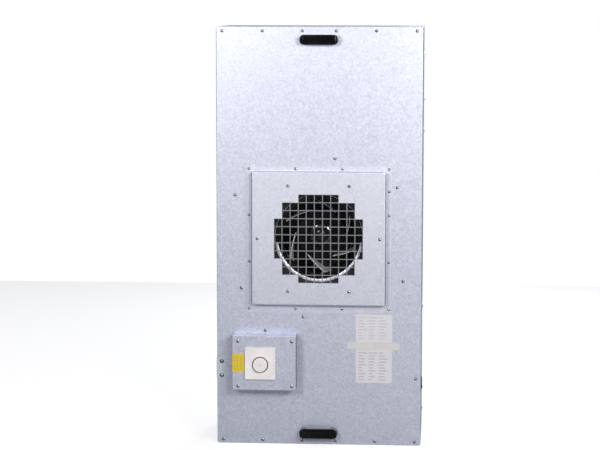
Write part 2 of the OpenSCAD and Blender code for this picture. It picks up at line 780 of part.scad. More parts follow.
// A moulded bridge handle: its outlines from the front, above and the side, cut by one another.
module bridge_handle(up) intersection() {
    layer(-handle_rise, 0) translate([0, up]) round_rect(handle_l, handle_w, 9);
    translate([0, front_y, up - handle_w]) linear_extrude(2 * handle_w) difference() {
        round_rect(handle_l, 2 * handle_rise, 13);
        round_rect(handle_l - 2 * foot_w, 2 * (handle_rise - grip_t), 6);
    }
    translate([-handle_l, front_y, up]) rotate([90, 0, 90]) linear_extrude(2 * handle_l)
        round_rect(2 * handle_rise, handle_w, 7);
}

module handle_top() color("black") bridge_handle(housing_h - handle_inset);

module handle_bottom() color("black") bridge_handle(handle_inset);

// ---- Papers, tape and sticker ----------------------------------------------------------------------

module paper(x, up, w, h, seat = 0)
    layer(seat - paper_t, seat) translate([x, up]) square([w, h], center = true);

module upper_label() color("whitesmoke")
    paper(paper_x, tape_up + (tape_w + upper_paper_h) / 2, paper_w, upper_paper_h);

module lower_label() color("whitesmoke")
    paper(paper_x, tape_up - (tape_w + lower_paper_h) / 2, paper_w, lower_paper_h);

module clear_tape() color("beige") paper(paper_x - 1, tape_up, tape_l, tape_w);

module yellow_sticker() color("gold")
    paper(box_x - box_w / 2 + sticker_w / 2 + 1, box_up, sticker_w, sticker_h, -box_rise);

// ---- HEPA filter -----------------------------------------------------------------------------------

module filter_gasket() color("dimgray") layer(housing_d, frame_depth) translate([0, housing_h / 2])
    difference() {
        square([housing_w - 4, housing_h - 4], center = true);
        square([housing_w - 2 * rail_w, housing_h - 2 * rail_w], center = true);
    }

// A channel along the left edge, open towards the pack, its two ends cut square.
module left_channel() {
    translate([-housing_w / 2, front_y + frame_depth, 0]) linear_extrude(housing_h) difference() {
        square([rail_w, filter_frame_d]);
        translate([rail_wall, rail_wall]) square([rail_w, filter_frame_d - 2 * rail_wall]);
    }
}

// The same channel along the bottom edge.
module bottom_channel() {
    translate([-housing_w / 2, front_y + frame_depth, 0]) rotate([90, 0, 90]) linear_extrude(housing_w)
        difference() {
            square([filter_frame_d, rail_w]);
            translate([rail_wall, rail_wall]) square([filter_frame_d - 2 * rail_wall, rail_w]);
        }
}

module filter_rail_left() color("silver") intersection() {
    left_channel();
    layer(frame_depth - 1, total_d + 1) polygon([
        [-housing_w / 2, 0], [-housing_w / 2 + rail_w, rail_w],
        [-housing_w / 2 + rail_w, housing_h - rail_w], [-housing_w / 2, housing_h]]);
}

module filter_rail_right() color("silver") mirror([1, 0, 0]) filter_rail_left();

module filter_rail_bottom() color("silver") intersection() {
    bottom_channel();
    layer(frame_depth - 1, total_d + 1) polygon([
        [-housing_w / 2, 0], [housing_w / 2, 0],
        [housing_w / 2 - rail_w, rail_w], [-housing_w / 2 + rail_w, rail_w]]);
}

module filter_rail_top() color("silver")
    translate([0, 0, housing_h]) mirror([0, 0, 1]) filter_rail_bottom();

// A sheet folded to and fro across the width, its folds running up.
module filter_media() color("white") {
    folds = round(pack_w / pleat_pitch);
    fold_w = pack_w / folds;
    near = [for (i = [0:folds])
        [i * fold_w - pack_w / 2, i % 2 == 0 ? pack_depth : pack_depth + pack_d - media_t]];
    far = [for (i = [folds:-1:0]) near[i] + [0, media_t]];
    translate([0, front_y, rail_wall + soft_gap]) linear_extrude(pack_h) polygon(concat(near, far));
}

module filter_guard() color("white") {
    layer(guard_depth, guard_depth + guard_t) translate([0, housing_h / 2]) difference() {
        square([pack_w, pack_h], center = true);
        cols = floor((housing_w - 2 * rail_w) / guard_pitch);
        rows = floor((housing_h - 2 * rail_w) / guard_pitch);
        for (i = [0:cols - 1], j = [0:rows - 1])
            translate([(i - (cols - 1) / 2) * guard_pitch, (j - (rows - 1) / 2) * guard_pitch])
                square(guard_pitch - guard_bar, center = true);
    }
}

module filter_clips() color("gainsboro")
    for (side = [0, 1], up = clip_ups) mirror([side, 0, 0])
        translate([-housing_w / 2 - clip_t, front_y + housing_d - clip_reach, up - clip_w / 2])
            cube([clip_t, 2 * clip_reach + gasket_t, clip_w]);

module clip_rivets() color("gainsboro")
    for (side = [0, 1], up = clip_ups, depth = [housing_d - clip_reach / 2, frame_depth + clip_reach / 2])
        mirror([side, 0, 0]) translate([-housing_w / 2 - clip_t, front_y + depth, up]) rotate([0, -90, 0])
            rotate_extrude() intersection() {
                translate([0, rivet_head_h - clip_dome_r]) circle(clip_dome_r);
                square([rivet_head_r, rivet_head_h]);
            }

// ---- Nodes -----------------------------------------------------------------------------------------

housing_shell();
end_wall_top();
end_wall_bottom();
inlet_pan();
inlet_ring();
impeller_blades();
impeller_back_plate();
impeller_shroud();
motor_rotor();
rotor_cap();
motor_shaft();
motor_bearings();
motor_stator();
motor_spider();
motor_screws();
fan_posts();
fan_post_screws();
control_box();
control_box_cover();
dial_plate();
speed_knob();
regulator_shaft();
speed_regulator();
terminal_block();
run_capacitor();
cable_grommet();
handle_top();
handle_bottom();
corner_strap();
plate_screws();
pan_rivets();
pan_screws();
ring_rivets();
box_screws();
strap_screws();
earth_screw();
side_plug();
upper_label();
lower_label();
clear_tape();
yellow_sticker();
filter_gasket();
filter_rail_left();
filter_rail_right();
filter_rail_top();
filter_rail_bottom();
filter_media();
filter_guard();
filter_clips();
clip_rivets();
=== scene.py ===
# %% [markdown]
# # A ceiling fan filter unit
# A fan filter unit is a sheet-metal box that blows clean air into a cleanroom. The engineering model
# already holds its solids at their real size. This lesson dresses them: finishes first, then the pieces
# whose rounded edges and fine detail are worth modelling by hand.

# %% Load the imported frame
import json
import math

import bmesh
import bpy
from mathutils import Matrix, Vector


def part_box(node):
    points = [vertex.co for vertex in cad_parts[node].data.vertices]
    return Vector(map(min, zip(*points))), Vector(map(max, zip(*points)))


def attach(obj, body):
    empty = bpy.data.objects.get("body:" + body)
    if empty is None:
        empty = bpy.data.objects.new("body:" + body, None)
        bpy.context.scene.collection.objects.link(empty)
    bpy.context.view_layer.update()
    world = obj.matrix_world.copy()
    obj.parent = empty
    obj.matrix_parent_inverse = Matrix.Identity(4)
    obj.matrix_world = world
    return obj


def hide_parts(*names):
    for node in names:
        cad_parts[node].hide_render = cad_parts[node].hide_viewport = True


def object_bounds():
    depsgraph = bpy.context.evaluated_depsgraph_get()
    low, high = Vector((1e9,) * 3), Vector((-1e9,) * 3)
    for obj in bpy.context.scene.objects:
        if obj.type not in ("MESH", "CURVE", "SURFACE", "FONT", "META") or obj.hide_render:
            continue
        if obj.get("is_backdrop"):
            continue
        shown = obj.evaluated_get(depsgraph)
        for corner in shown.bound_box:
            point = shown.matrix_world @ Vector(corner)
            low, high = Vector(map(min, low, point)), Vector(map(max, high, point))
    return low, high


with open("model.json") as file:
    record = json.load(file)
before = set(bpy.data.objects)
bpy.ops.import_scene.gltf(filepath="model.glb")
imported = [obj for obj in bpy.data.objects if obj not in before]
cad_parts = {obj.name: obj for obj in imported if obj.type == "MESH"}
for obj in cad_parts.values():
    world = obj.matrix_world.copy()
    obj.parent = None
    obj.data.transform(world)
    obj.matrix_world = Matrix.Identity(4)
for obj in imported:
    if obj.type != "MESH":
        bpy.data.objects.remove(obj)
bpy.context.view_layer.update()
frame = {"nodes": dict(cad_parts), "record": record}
nodes = frame["nodes"]
MM = 0.001

# %% [markdown]
# ## The camera
# A long lens stands five and a half metres in front of the intake face, a little to the right and just
# above the unit's top. Plain angles turn it, since a Track To constraint would need a target.

# %% Camera
FRONT_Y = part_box("housing_shell")[0].y
CAMERA_PLACE = (0.340, FRONT_Y - 5.5, 1.2525)
CAMERA_TILT_DOWN = 6.507
CAMERA_TURN_LEFT = 4.088
CAMERA_ROLL = 0.04
FOCAL_LENGTH = 119.1

camera_data = bpy.data.cameras.new("camera")
camera_data.lens = FOCAL_LENGTH
camera_data.sensor_width = 36.0
camera_data.clip_end = 60.0
camera = bpy.data.objects.new("camera", camera_data)
camera.location = CAMERA_PLACE
turn = Matrix.Rotation(math.radians(CAMERA_TURN_LEFT), 4, "Z")
tilt = Matrix.Rotation(math.radians(90 - CAMERA_TILT_DOWN), 4, "X")
roll = Matrix.Rotation(math.radians(CAMERA_ROLL), 4, "Z")
camera.rotation_euler = (turn @ tilt @ roll).to_euler()
bpy.context.scene.collection.objects.link(camera)
bpy.context.scene.camera = camera
print("camera looks from", [round(v, 2) for v in camera.location])

# %% [markdown]
# ## Light
# Bare zinc shows whatever stands in front of it, so the lamps shape its tones. Two soft boxes left and
# right in front, and a weaker, nearer one on the right, brighten the upper half and let the lower half
# fall off. Another lights the outlet side from behind, and a wide one hangs overhead. Spot lamps would
# be quicker to aim, but their small hot spots would show in the sheet.


# %% Lamps
def soft_box(name, place, aim, size, power, colour):
    """A rectangular area lamp at a place, turned to face another place."""
    data = bpy.data.lights.new(name, "AREA")
    data.shape = "RECTANGLE"
    data.size, data.size_y = size
    data.energy = power
    data.color = colour
    lamp = bpy.data.objects.new(name, data)
    lamp.location = place
    lamp.rotation_euler = (Vector(aim) - Vector(place)).to_track_quat("-Z", "Y").to_euler()
    lamp.visible_camera = False
    bpy.context.scene.collection.objects.link(lamp)
    return lamp


KEY_COLOUR = (1.05, 1.0, 0.93)
PLAIN_COLOUR = (1.0, 1.0, 1.0)
SOFT_SPREAD = math.radians(130)
FRONT_AIM = (0.0, FRONT_Y, 0.75)
for name, place, aim, side, power, colour in (
        ("left_box", (-1.2, -3.3, 1.6), FRONT_AIM, 0.7, 19.4, KEY_COLOUR),
        ("right_box", (1.2, -3.3, 1.6), FRONT_AIM, 0.7, 19.8, KEY_COLOUR),
        ("near_box", (1.2, -1.8, 1.4), FRONT_AIM, 0.7, 9.0, KEY_COLOUR),
        ("back_box", (0.9, 3.4, 1.9), (0.0, 0.0, 0.6), 0.9, 34, PLAIN_COLOUR)):
    soft_box(name, place, aim, (side, side), power, colour).data.spread = SOFT_SPREAD
soft_box("top_box", (0.0, 0.6, 3.2), (0.0, 0.3, 0.0), (3.0, 2.4), 26, PLAIN_COLOUR)

# %% [markdown]
# ## Floor and surroundings
# The unit stands on pale paper in a white room. Lighting the paper to pure white would also flood the
# zinc, so most of its brightness is an emission that the camera sees in full and metal only in part. The
# room works the same way: white to the camera, and a weak, cool light to everything else. A backdrop
# sheet would hide the unit from a camera behind it.


# %% Ray share
def maths(tree, operation, a, b=0.0, clamp=False):
    """A Math node; a and b are sockets or numbers."""
    node = tree.nodes.new("ShaderNodeMath")
    node.operation = operation
    node.use_clamp = clamp
    for socket, value in zip(node.inputs, (a, b)):
        if isinstance(value, (int, float)):
            socket.default_value = value
        else:
            tree.links.new(value, socket)
    return node.outputs[0]


def seen_share(tree, mirror_share):
    """1 for camera rays, mirror_share off metal or through glass, 0 for rays that carry light."""
    path = tree.nodes.new("ShaderNodeLightPath")
    bounced = maths(tree, "MAXIMUM", path.outputs["Is Glossy Ray"], path.outputs["Is Transmission Ray"])
    mirrored = maths(tree, "MULTIPLY", bounced, mirror_share)
    return maths(tree, "MAXIMUM", path.outputs["Is Camera Ray"], mirrored)


# %% Floor and world
def paper_material(name, colour, lift, mirror_share):
    """Paper: plain diffuse light, and a lift that the camera sees in full and metal in part."""
    mat = bpy.data.materials.new(name)
    mat.use_nodes = True
    tree = mat.node_tree
    tree.nodes.clear()
    out = tree.nodes.new("ShaderNodeOutputMaterial")
    diffuse = tree.nodes.new("ShaderNodeBsdfDiffuse")
    diffuse.inputs["Color"].default_value = (*colour, 1)
    glow = tree.nodes.new("ShaderNodeEmission")
    glow.inputs["Color"].default_value = (1, 1, 1, 1)
    strength = maths(tree, "MULTIPLY", seen_share(tree, mirror_share), lift)
    tree.links.new(strength, glow.inputs["Strength"])
    both = tree.nodes.new("ShaderNodeAddShader")
    tree.links.new(diffuse.outputs[0], both.inputs[0])
    tree.links.new(glow.outputs[0], both.inputs[1])
    tree.links.new(both.outputs[0], out.inputs["Surface"])
    return mat


def kept_mesh(name, bm):
    """Turns a finished bmesh into a mesh."""
    mesh = bpy.data.meshes.new(name)
    bm.to_mesh(mesh)
    bm.free()
    return mesh


def mesh_object(name, bm):
    """Turns a finished bmesh into an object at the origin."""
    piece = bpy.data.objects.new(name, kept_mesh(name, bm))
    bpy.context.scene.collection.objects.link(piece)
    return piece


FLOOR_HALF = 9.0
BACK_Y = 3.0
NEAR_Y = -9.0
FLOOR_COLOUR = (0.40, 0.40, 0.405)
FLOOR_LIFT = 0.735
MIRROR_SHARE = 0.10
bm = bmesh.new()
bm.faces.new([bm.verts.new((x, y, 0)) for x, y in ((-FLOOR_HALF, NEAR_Y), (FLOOR_HALF, NEAR_Y),
                                                   (FLOOR_HALF, BACK_Y), (-FLOOR_HALF, BACK_Y))])
sheet = mesh_object("floor", bm)
sheet.data.materials.append(paper_material("floor_paper", FLOOR_COLOUR, FLOOR_LIFT, MIRROR_SHARE))
sheet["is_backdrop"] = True

ROOM_LIGHT = (0.86, 0.97, 1.28)
ROOM_STRENGTH = 0.14
world = bpy.data.worlds.new("studio")
world.use_nodes = True
bpy.context.scene.world = world
air = world.node_tree.nodes["Background"]
air.inputs["Color"].default_value = (*ROOM_LIGHT, 1)
air.inputs["Strength"].default_value = ROOM_STRENGTH
white = world.node_tree.nodes.new("ShaderNodeBackground")
white.inputs["Color"].default_value = (1, 1, 1, 1)
choice = world.node_tree.nodes.new("ShaderNodeMixShader")
link = world.node_tree.links.new
link(seen_share(world.node_tree, MIRROR_SHARE), choice.inputs[0])
link(air.outputs[0], choice.inputs[1])
link(white.outputs[0], choice.inputs[2])
link(choice.outputs[0], world.node_tree.nodes["World Output"].inputs["Surface"])
bpy.context.scene.view_settings.view_transform = "Standard"
print("floor", 2 * FLOOR_HALF, "m wide; room strength", ROOM_STRENGTH)

# %% [markdown]
# ## Zinc spangle
# Hot-dip galvanised sheet freezes into a patchwork of zinc crystals a few millimetres across, each a
# slightly different grey. A noise would look like clouds, but a Voronoi texture gives such patches. Two
# sizes are mixed so the cells don't read as a grid.


# %% Spangle group
def group(name, inputs, outputs):
    """An empty shader group with number inputs, {name: default}, and number outputs."""
    tree = bpy.data.node_groups.new(name, "ShaderNodeTree")
    for label, value in inputs.items():
        socket = tree.interface.new_socket(label, in_out="INPUT", socket_type="NodeSocketFloat")
        socket.default_value = value
    for label in outputs:
        tree.interface.new_socket(label, in_out="OUTPUT", socket_type="NodeSocketFloat")
    return tree, tree.nodes.new("NodeGroupInput"), tree.nodes.new("NodeGroupOutput")


def make_spangle():
    """Crystal patches: Tone goes from 0 to 1 from patch to patch, Cloud drifts over the sheet."""
    tree, given, result = group("zinc_spangle", {"Scale": 220.0, "Cloud Scale": 3.0}, ("Tone", "Cloud"))
    place = tree.nodes.new("ShaderNodeTexCoord").outputs["Object"]
    wobble = tree.nodes.new("ShaderNodeTexNoise")
    wobble.inputs["Scale"].default_value = 300.0
    tree.links.new(place, wobble.inputs["Vector"])
    shift = tree.nodes.new("ShaderNodeVectorMath")
    shift.operation = "MULTIPLY_ADD"
    shift.inputs[1].default_value = (0.003, 0.003, 0.003)
    tree.links.new(wobble.outputs["Color"], shift.inputs[0])
    tree.links.new(place, shift.inputs[2])
    tones = []
    for share in (1.0, 0.6):
        cells = tree.nodes.new("ShaderNodeTexVoronoi")
        tree.links.new(shift.outputs[0], cells.inputs["Vector"])
        tree.links.new(maths(tree, "MULTIPLY", given.outputs["Scale"], share), cells.inputs["Scale"])
        parts = tree.nodes.new("ShaderNodeSeparateColor")
        tree.links.new(cells.outputs["Color"], parts.inputs[0])
        tones.append(parts.outputs[0])
    tone = maths(tree, "ADD", maths(tree, "MULTIPLY", tones[0], 0.65),
                 maths(tree, "MULTIPLY", tones[1], 0.35))
    tree.links.new(tone, result.inputs["Tone"])
    cloud = tree.nodes.new("ShaderNodeTexNoise")
    cloud.inputs["Detail"].default_value = 4.0
    tree.links.new(place, cloud.inputs["Vector"])
    tree.links.new(given.outputs["Cloud Scale"], cloud.inputs["Scale"])
    tree.links.new(cloud.outputs["Fac"], result.inputs["Cloud"])
    return tree


SPANGLE = make_spangle()
print("spangle group has", len(SPANGLE.nodes), "nodes")

# %% [markdown]
# ## Materials
# Each finish is one Principled shader. Values that are the same all over sit on the shader's own
# sockets; what varies comes in through the groups.


# %% Material helper
def finish(name, colour, roughness, metallic=0.0, **sockets):
    """A Principled material with plain values on its own sockets."""
    mat = bpy.data.materials.new(name)
    mat.use_nodes = True
    shader = mat.node_tree.nodes["Principled BSDF"]
    shader.inputs["Base Color"].default_value = (*colour, 1)
    shader.inputs["Roughness"].default_value = roughness
    shader.inputs["Metallic"].default_value = metallic
    for label, value in sockets.items():
        shader.inputs[label.replace("_", " ")].default_value = value
    return mat


def use_group(mat, tree, **values):
    """Places a group in a material and sets its inputs."""
    node = mat.node_tree.nodes.new("ShaderNodeGroup")
    node.node_tree = tree
    for label, value in values.items():
        node.inputs[label.replace("_", " ")].default_value = value
    return node


def mixed_colour(mat, share, low, high):
    """A colour that goes from low to high with the share."""
    mix = mat.node_tree.nodes.new("ShaderNodeMix")
    mix.data_type = "RGBA"
    mix.inputs["A"].default_value = (*low, 1)
    mix.inputs["B"].default_value = (*high, 1)
    mat.node_tree.links.new(share, mix.inputs["Factor"])
    return mix.outputs["Result"]


def ranged(mat, share, low, high):
    """A value that goes from low to high as the share goes from 0 to 1."""
    tree = mat.node_tree
    return maths(tree, "ADD", maths(tree, "MULTIPLY", share, high - low), low)


def drive(mat, label, value):
    """Links a value to one of the shader's sockets."""
    mat.node_tree.links.new(value, mat.node_tree.nodes["Principled BSDF"].inputs[label])


def bumped(mat, height, strength, distance=0.0002):
    """Feeds a height to the shader's normal."""
    bump = mat.node_tree.nodes.new("ShaderNodeBump")
    bump.inputs["Strength"].default_value = strength
    bump.inputs["Distance"].default_value = distance
    mat.node_tree.links.new(height, bump.inputs["Height"])
    drive(mat, "Normal", bump.outputs[0])


def overlay(mat, share, colour):
    """Lays a colour over the material's own as far as the share says."""
    tree = mat.node_tree
    own = tree.nodes["Principled BSDF"].inputs["Base Color"].links[0].from_socket
    mix = tree.nodes.new("ShaderNodeMix")
    mix.data_type = "RGBA"
    tree.links.new(share, mix.inputs["Factor"])
    tree.links.new(own, mix.inputs["A"])
    mix.inputs["B"].default_value = (*colour, 1)
    drive(mat, "Base Color", mix.outputs["Result"])


# %% [markdown]
# ## Galvanised sheet
# Fresh zinc is a mirror, but in air it soon grows a thin chalky skin. Fully metallic, it would look like
# tinplate, so it is a little over half metallic, and its patches differ in colour, gloss and height.


# %% Galvanised sheet
ZINC_METAL = 0.60


def galvanised(name, dark, light, scale, rough_low, rough_high):
    """Zinc-coated sheet with its crystal patches in colour and gloss."""
    mat = finish(name, light, rough_high, metallic=ZINC_METAL)
    tree = mat.node_tree
    patches = use_group(mat, SPANGLE, Scale=scale)
    drive(mat, "Base Color", mixed_colour(mat, patches.outputs["Tone"], dark, light))
    gloss = maths(tree, "ADD", maths(tree, "MULTIPLY", patches.outputs["Tone"], 0.6),
                  maths(tree, "MULTIPLY", patches.outputs["Cloud"], 0.4))
    drive(mat, "Roughness", ranged(mat, gloss, rough_low, rough_high))
    bumped(mat, patches.outputs["Tone"], 0.15)
    return mat


# %% [markdown]
# ## Grain, smudges and paper fibre
# A moulding has the fine leather-like grain of its tool, handled metal has faint smudges, and paper has
# fibres. Each is on several finishes, so each is one small group that every material places with its
# own scale.


# %% Texture groups
def noise(tree, place, scale, detail=3.0, stretch=None):
    """A noise texture's value on Object coordinates, stretched along an axis where that is wanted."""
    if stretch is not None:
        squeeze = tree.nodes.new("ShaderNodeMapping")
        squeeze.inputs["Scale"].default_value = stretch
        tree.links.new(place, squeeze.inputs["Vector"])
        place = squeeze.outputs[0]
    texture = tree.nodes.new("ShaderNodeTexNoise")
    texture.inputs["Detail"].default_value = detail
    tree.links.new(place, texture.inputs["Vector"])
    if isinstance(scale, (int, float)):
        texture.inputs["Scale"].default_value = scale
    else:
        tree.links.new(scale, texture.inputs["Scale"])
    return texture.outputs["Fac"]


def object_place(tree):
    """The Object coordinates of a tree."""
    return tree.nodes.new("ShaderNodeTexCoord").outputs["Object"]


def make_smudge():
    """Smudges: a mask of the sparse dull patches that hands and dust leave, and a slow drift."""
    tree, given, result = group("smudges", {"Scale": 14.0}, ("Mask", "Drift"))
    place = object_place(tree)
    patch = noise(tree, place, given.outputs["Scale"], 5.0)
    sharp = maths(tree, "MULTIPLY", maths(tree, "SUBTRACT", patch, 0.52), 5.0, clamp=True)
    tree.links.new(sharp, result.inputs["Mask"])
    tree.links.new(noise(tree, place, 2.2, 2.0), result.inputs["Drift"])
    return tree


def make_grain():
    """Moulded grain: a fine pebbled height."""
    tree, given, result = group("moulded_grain", {"Scale": 900.0}, ("Height",))
    cells = tree.nodes.new("ShaderNodeTexVoronoi")
    tree.links.new(object_place(tree), cells.inputs["Vector"])
    tree.links.new(given.outputs["Scale"], cells.inputs["Scale"])
    tree.links.new(cells.outputs["Distance"], result.inputs["Height"])
    return tree


def make_fibre():
    """Fibres: short threads that cross each other, as in paper and felt."""
    tree, given, result = group("fibres", {"Scale": 260.0}, ("Height",))
    place = object_place(tree)
    along = noise(tree, place, given.outputs["Scale"], 3.0, (1.0, 1.0, 0.22))
    across = noise(tree, place, given.outputs["Scale"], 3.0, (0.22, 1.0, 1.0))
    tree.links.new(maths(tree, "MAXIMUM", along, across), result.inputs["Height"])
    return tree


def make_drawn():
    """Die lines of a drawn or brushed metal, running along Z."""
    tree, given, result = group("die_lines", {"Scale": 900.0}, ("Lines",))
    lines = noise(tree, object_place(tree), given.outputs["Scale"], 2.0, (1.0, 1.0, 0.01))
    tree.links.new(lines, result.inputs["Lines"])
    return tree


SMUDGE = make_smudge()
GRAIN = make_grain()
FIBRE = make_fibre()
DRAWN = make_drawn()
print("texture groups:", [tree.name for tree in (SMUDGE, GRAIN, FIBRE, DRAWN)])

# %% [markdown]
# ## Finishes
# The sheet zinc comes in three strengths: the broad spangle of the housing, the smaller, tighter crystals
# of the pressed pan, and the pale strap. Moulded and painted finishes share one recipe: a plain colour,
# a grain height, and a gloss that smudges wear down a little.


# %% Finish recipes
def moulded(name, colour, gloss_low, gloss_high, grain_scale, grain_strength, **sockets):
    """A moulding: one colour, pebbled grain, and smudges that dull its gloss."""
    mat = finish(name, colour, gloss_high, **sockets)
    smudge = use_group(mat, SMUDGE, Scale=22.0)
    drive(mat, "Roughness", ranged(mat, smudge.outputs["Mask"], gloss_low, gloss_high))
    pale = [min(1.0, c * 1.12 + 0.006) for c in colour]
    drive(mat, "Base Color", mixed_colour(mat, smudge.outputs["Mask"], colour, pale))
    grain = use_group(mat, GRAIN, Scale=grain_scale)
    bumped(mat, grain.outputs["Height"], grain_strength, 0.0001)
    return mat


def plain_metal(name, dark, light, rough_low, rough_high, line_strength=0.1):
    """A drawn or turned metal with faint die lines and smudges."""
    mat = finish(name, light, rough_high, metallic=1.0)
    lines = use_group(mat, DRAWN)
    smudge = use_group(mat, SMUDGE, Scale=30.0)
    drive(mat, "Base Color", mixed_colour(mat, lines.outputs["Lines"], dark, light))
    drive(mat, "Roughness", ranged(mat, smudge.outputs["Mask"], rough_low, rough_high))
    bumped(mat, lines.outputs["Lines"], line_strength, 0.00005)
    return mat


def fibrous(name, dark, light, roughness, scale, strength, distance=0.0001):
    """Paper or felt: fibres in its height and, faintly, in its colour."""
    mat = finish(name, light, roughness)
    threads = use_group(mat, FIBRE, Scale=scale)
    smudge = use_group(mat, SMUDGE, Scale=9.0)
    drive(mat, "Base Color", mixed_colour(mat, smudge.outputs["Drift"], dark, light))
    drive(mat, "Roughness", ranged(mat, threads.outputs["Height"], roughness - 0.08, roughness + 0.08))
    bumped(mat, threads.outputs["Height"], strength, distance)
    return mat


# %% Finishes
ZINC = galvanised("galvanised_sheet", (0.512, 0.548, 0.662), (0.680, 0.726, 0.872), 290.0, 0.34, 0.46)
PAN_ZINC = galvanised("galvanised_pan", (0.580, 0.612, 0.720), (0.715, 0.757, 0.880), 400.0, 0.34, 0.46)
BRIGHT_ZINC = plain_metal("bright_zinc", (0.26, 0.26, 0.27), (0.38, 0.38, 0.39), 0.24, 0.36)
RAIL = plain_metal("rail_aluminium", (0.66, 0.67, 0.69), (0.76, 0.77, 0.79), 0.32, 0.45, 0.25)
FAN_BLACK = moulded("fan_enamel", (0.008, 0.008, 0.009), 0.12, 0.22, 700.0, 0.03,
                    Specular_IOR_Level=0.30)
BLADE_GREY = moulded("blade_enamel", (0.93, 0.93, 0.95), 0.16, 0.28, 700.0, 0.05,
                     Specular_IOR_Level=0.8)
HUB_GLOSS = moulded("hub_enamel", (0.006, 0.006, 0.007), 0.06, 0.10, 700.0, 0.0,
                    Specular_IOR_Level=1.0, Coat_Weight=1.0, Coat_Roughness=0.06)
MOTOR_BLACK = moulded("motor_enamel", (0.008, 0.008, 0.009), 0.14, 0.24, 600.0, 0.04,
                      Specular_IOR_Level=0.20)
BLACK_GLOSS = moulded("black_moulding", (0.003, 0.003, 0.004), 0.06, 0.13, 900.0, 0.02,
                      Specular_IOR_Level=0.20)
WHITE_GLOSS = moulded("white_moulding", (0.81, 0.79, 0.80), 0.28, 0.42, 1200.0, 0.06)
WHITE_PAINT = moulded("white_paint", (0.84, 0.84, 0.84), 0.35, 0.50, 700.0, 0.15)
RUBBER = moulded("rubber", (0.018, 0.018, 0.018), 0.60, 0.75, 900.0, 0.20)
BLUE_CASE = moulded("regulator_case", (0.05, 0.09, 0.25), 0.42, 0.55, 800.0, 0.15)
IVORY = moulded("terminal_case", (0.75, 0.70, 0.55), 0.42, 0.55, 800.0, 0.15)
GREY_CASE = moulded("capacitor_case", (0.20, 0.21, 0.22), 0.36, 0.48, 800.0, 0.12)
YELLOW = moulded("yellow_film", (0.745, 0.553, 0.030), 0.28, 0.40, 500.0, 0.10)
# Dark felt that paints the shade on the plate behind the grille.
SHADE_FELT = fibrous("grille_shade_felt", (0.018, 0.020, 0.026), (0.034, 0.037, 0.046), 0.80, 500.0, 0.6, 0.0004)
FOAM = fibrous("foam_strip", (0.016, 0.016, 0.018), (0.030, 0.030, 0.032), 0.88, 700.0, 0.8, 0.0006)
PAPER = fibrous("paper", (0.61, 0.615, 0.67), (0.66, 0.665, 0.72), 0.78, 900.0, 0.15)
MEDIA = fibrous("filter_paper", (0.84, 0.84, 0.83), (0.90, 0.90, 0.89), 0.88, 500.0, 0.3, 0.0002)
GLUE = moulded("hot_melt", (0.86, 0.85, 0.80), 0.30, 0.45, 400.0, 0.2)
TAPE = moulded("tape", (0.60, 0.61, 0.62), 0.30, 0.48, 300.0, 0.35)
STRAP_ZINC = galvanised("strap_zinc", (0.70, 0.74, 0.85), (0.80, 0.84, 0.95), 400.0, 0.28, 0.40)
# Dark zinc that paints shade on the side walls of the pan and the control box.
FLANK_SHADE = plain_metal("flank_painted_shade", (0.20, 0.21, 0.24), (0.28, 0.29, 0.33), 0.38, 0.50)
print("materials in the file:", len(bpy.data.materials))

# %% [markdown]
# ## Painted shade on the bars of the grille
# The bars are the pan's own sheet, but each is so thin that it reads as a darker grey against the fan. A
# mask in the finish paints that shade on them, because cutting the pan's face up would add many faces: it
# rounds each point to its nearest cell and tells whether that cell is part of the grille.


# %% Bar mask
def paint_bar_shade(mat, centre, pitch, reach, colour):
    """Paints shade on the sheet of all cells whose centres lie within reach of the grille's centre."""
    tree = mat.node_tree
    parts = tree.nodes.new("ShaderNodeSeparateXYZ")
    tree.links.new(object_place(tree), parts.inputs[0])
    steps = []
    for axis, middle in (("X", centre.x), ("Z", centre.z)):
        off = maths(tree, "SUBTRACT", parts.outputs[axis], middle)
        steps.append(maths(tree, "ROUND", maths(tree, "DIVIDE", off, pitch)))
    squares = maths(tree, "ADD", maths(tree, "MULTIPLY", steps[0], steps[0]),
                    maths(tree, "MULTIPLY", steps[1], steps[1]))
    overlay(mat, maths(tree, "LESS_THAN", squares, (reach / pitch) ** 2), colour)


ring_low, ring_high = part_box("inlet_ring")
ring_centre = (ring_low + ring_high) / 2
CELL_PITCH = 22.6 * MM
GRILLE_REACH = 129 * MM
# Painted shade: a dark grey laid over the zinc of the bars.
BAR_SHADE_COLOUR = (0.24, 0.25, 0.28)
paint_bar_shade(PAN_ZINC, ring_centre, CELL_PITCH, GRILLE_REACH, BAR_SHADE_COLOUR)
print("grille reaches", round(GRILLE_REACH / CELL_PITCH, 1), "cells from its centre")

# %% [markdown]
# ## One finish for each slot
# The engineering record gives every node a slot, such as rubber, so one table dresses them all.

# %% Slots
SLOT_FINISH = {
    "galvanised": ZINC, "impeller_metal": FAN_BLACK, "motor_black": MOTOR_BLACK,
    "bright_steel": BRIGHT_ZINC, "white_plastic": WHITE_GLOSS, "black_plastic": BLACK_GLOSS,
    "regulator_plastic": BLUE_CASE, "terminal_plastic": IVORY, "capacitor_plastic": GREY_CASE,
    "rubber": RUBBER, "foam_rubber": FOAM, "paper": PAPER, "tape": TAPE, "yellow_film": YELLOW,
    "rail_aluminium": RAIL, "filter_paper": MEDIA, "white_paint": WHITE_PAINT,
}
print(len(SLOT_FINISH), "finishes, one for each slot of the record")

# %% [markdown]
# ## From a CAD node to a finished piece
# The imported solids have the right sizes, but a real folded or moulded edge shows a thin line of light.
# Modelling everything again would lose the exact fit, so a merged copy of a node gets small bevels.
# Flat faces then need weighted normals, or the light would bend across a whole panel.

# %% Piece helpers
slot_of = {part["node"]: part["material_slot"] for part in frame["record"]["subparts"]}
body_of = {name: body for body, names in frame["record"]["behaviour"]["bodies"].items()
           for name in names}
MERGE = 1e-6
FLAT_DEG = 0.5
EDGE_DEG = 32.0
SMOOTH_DEG = 50.0


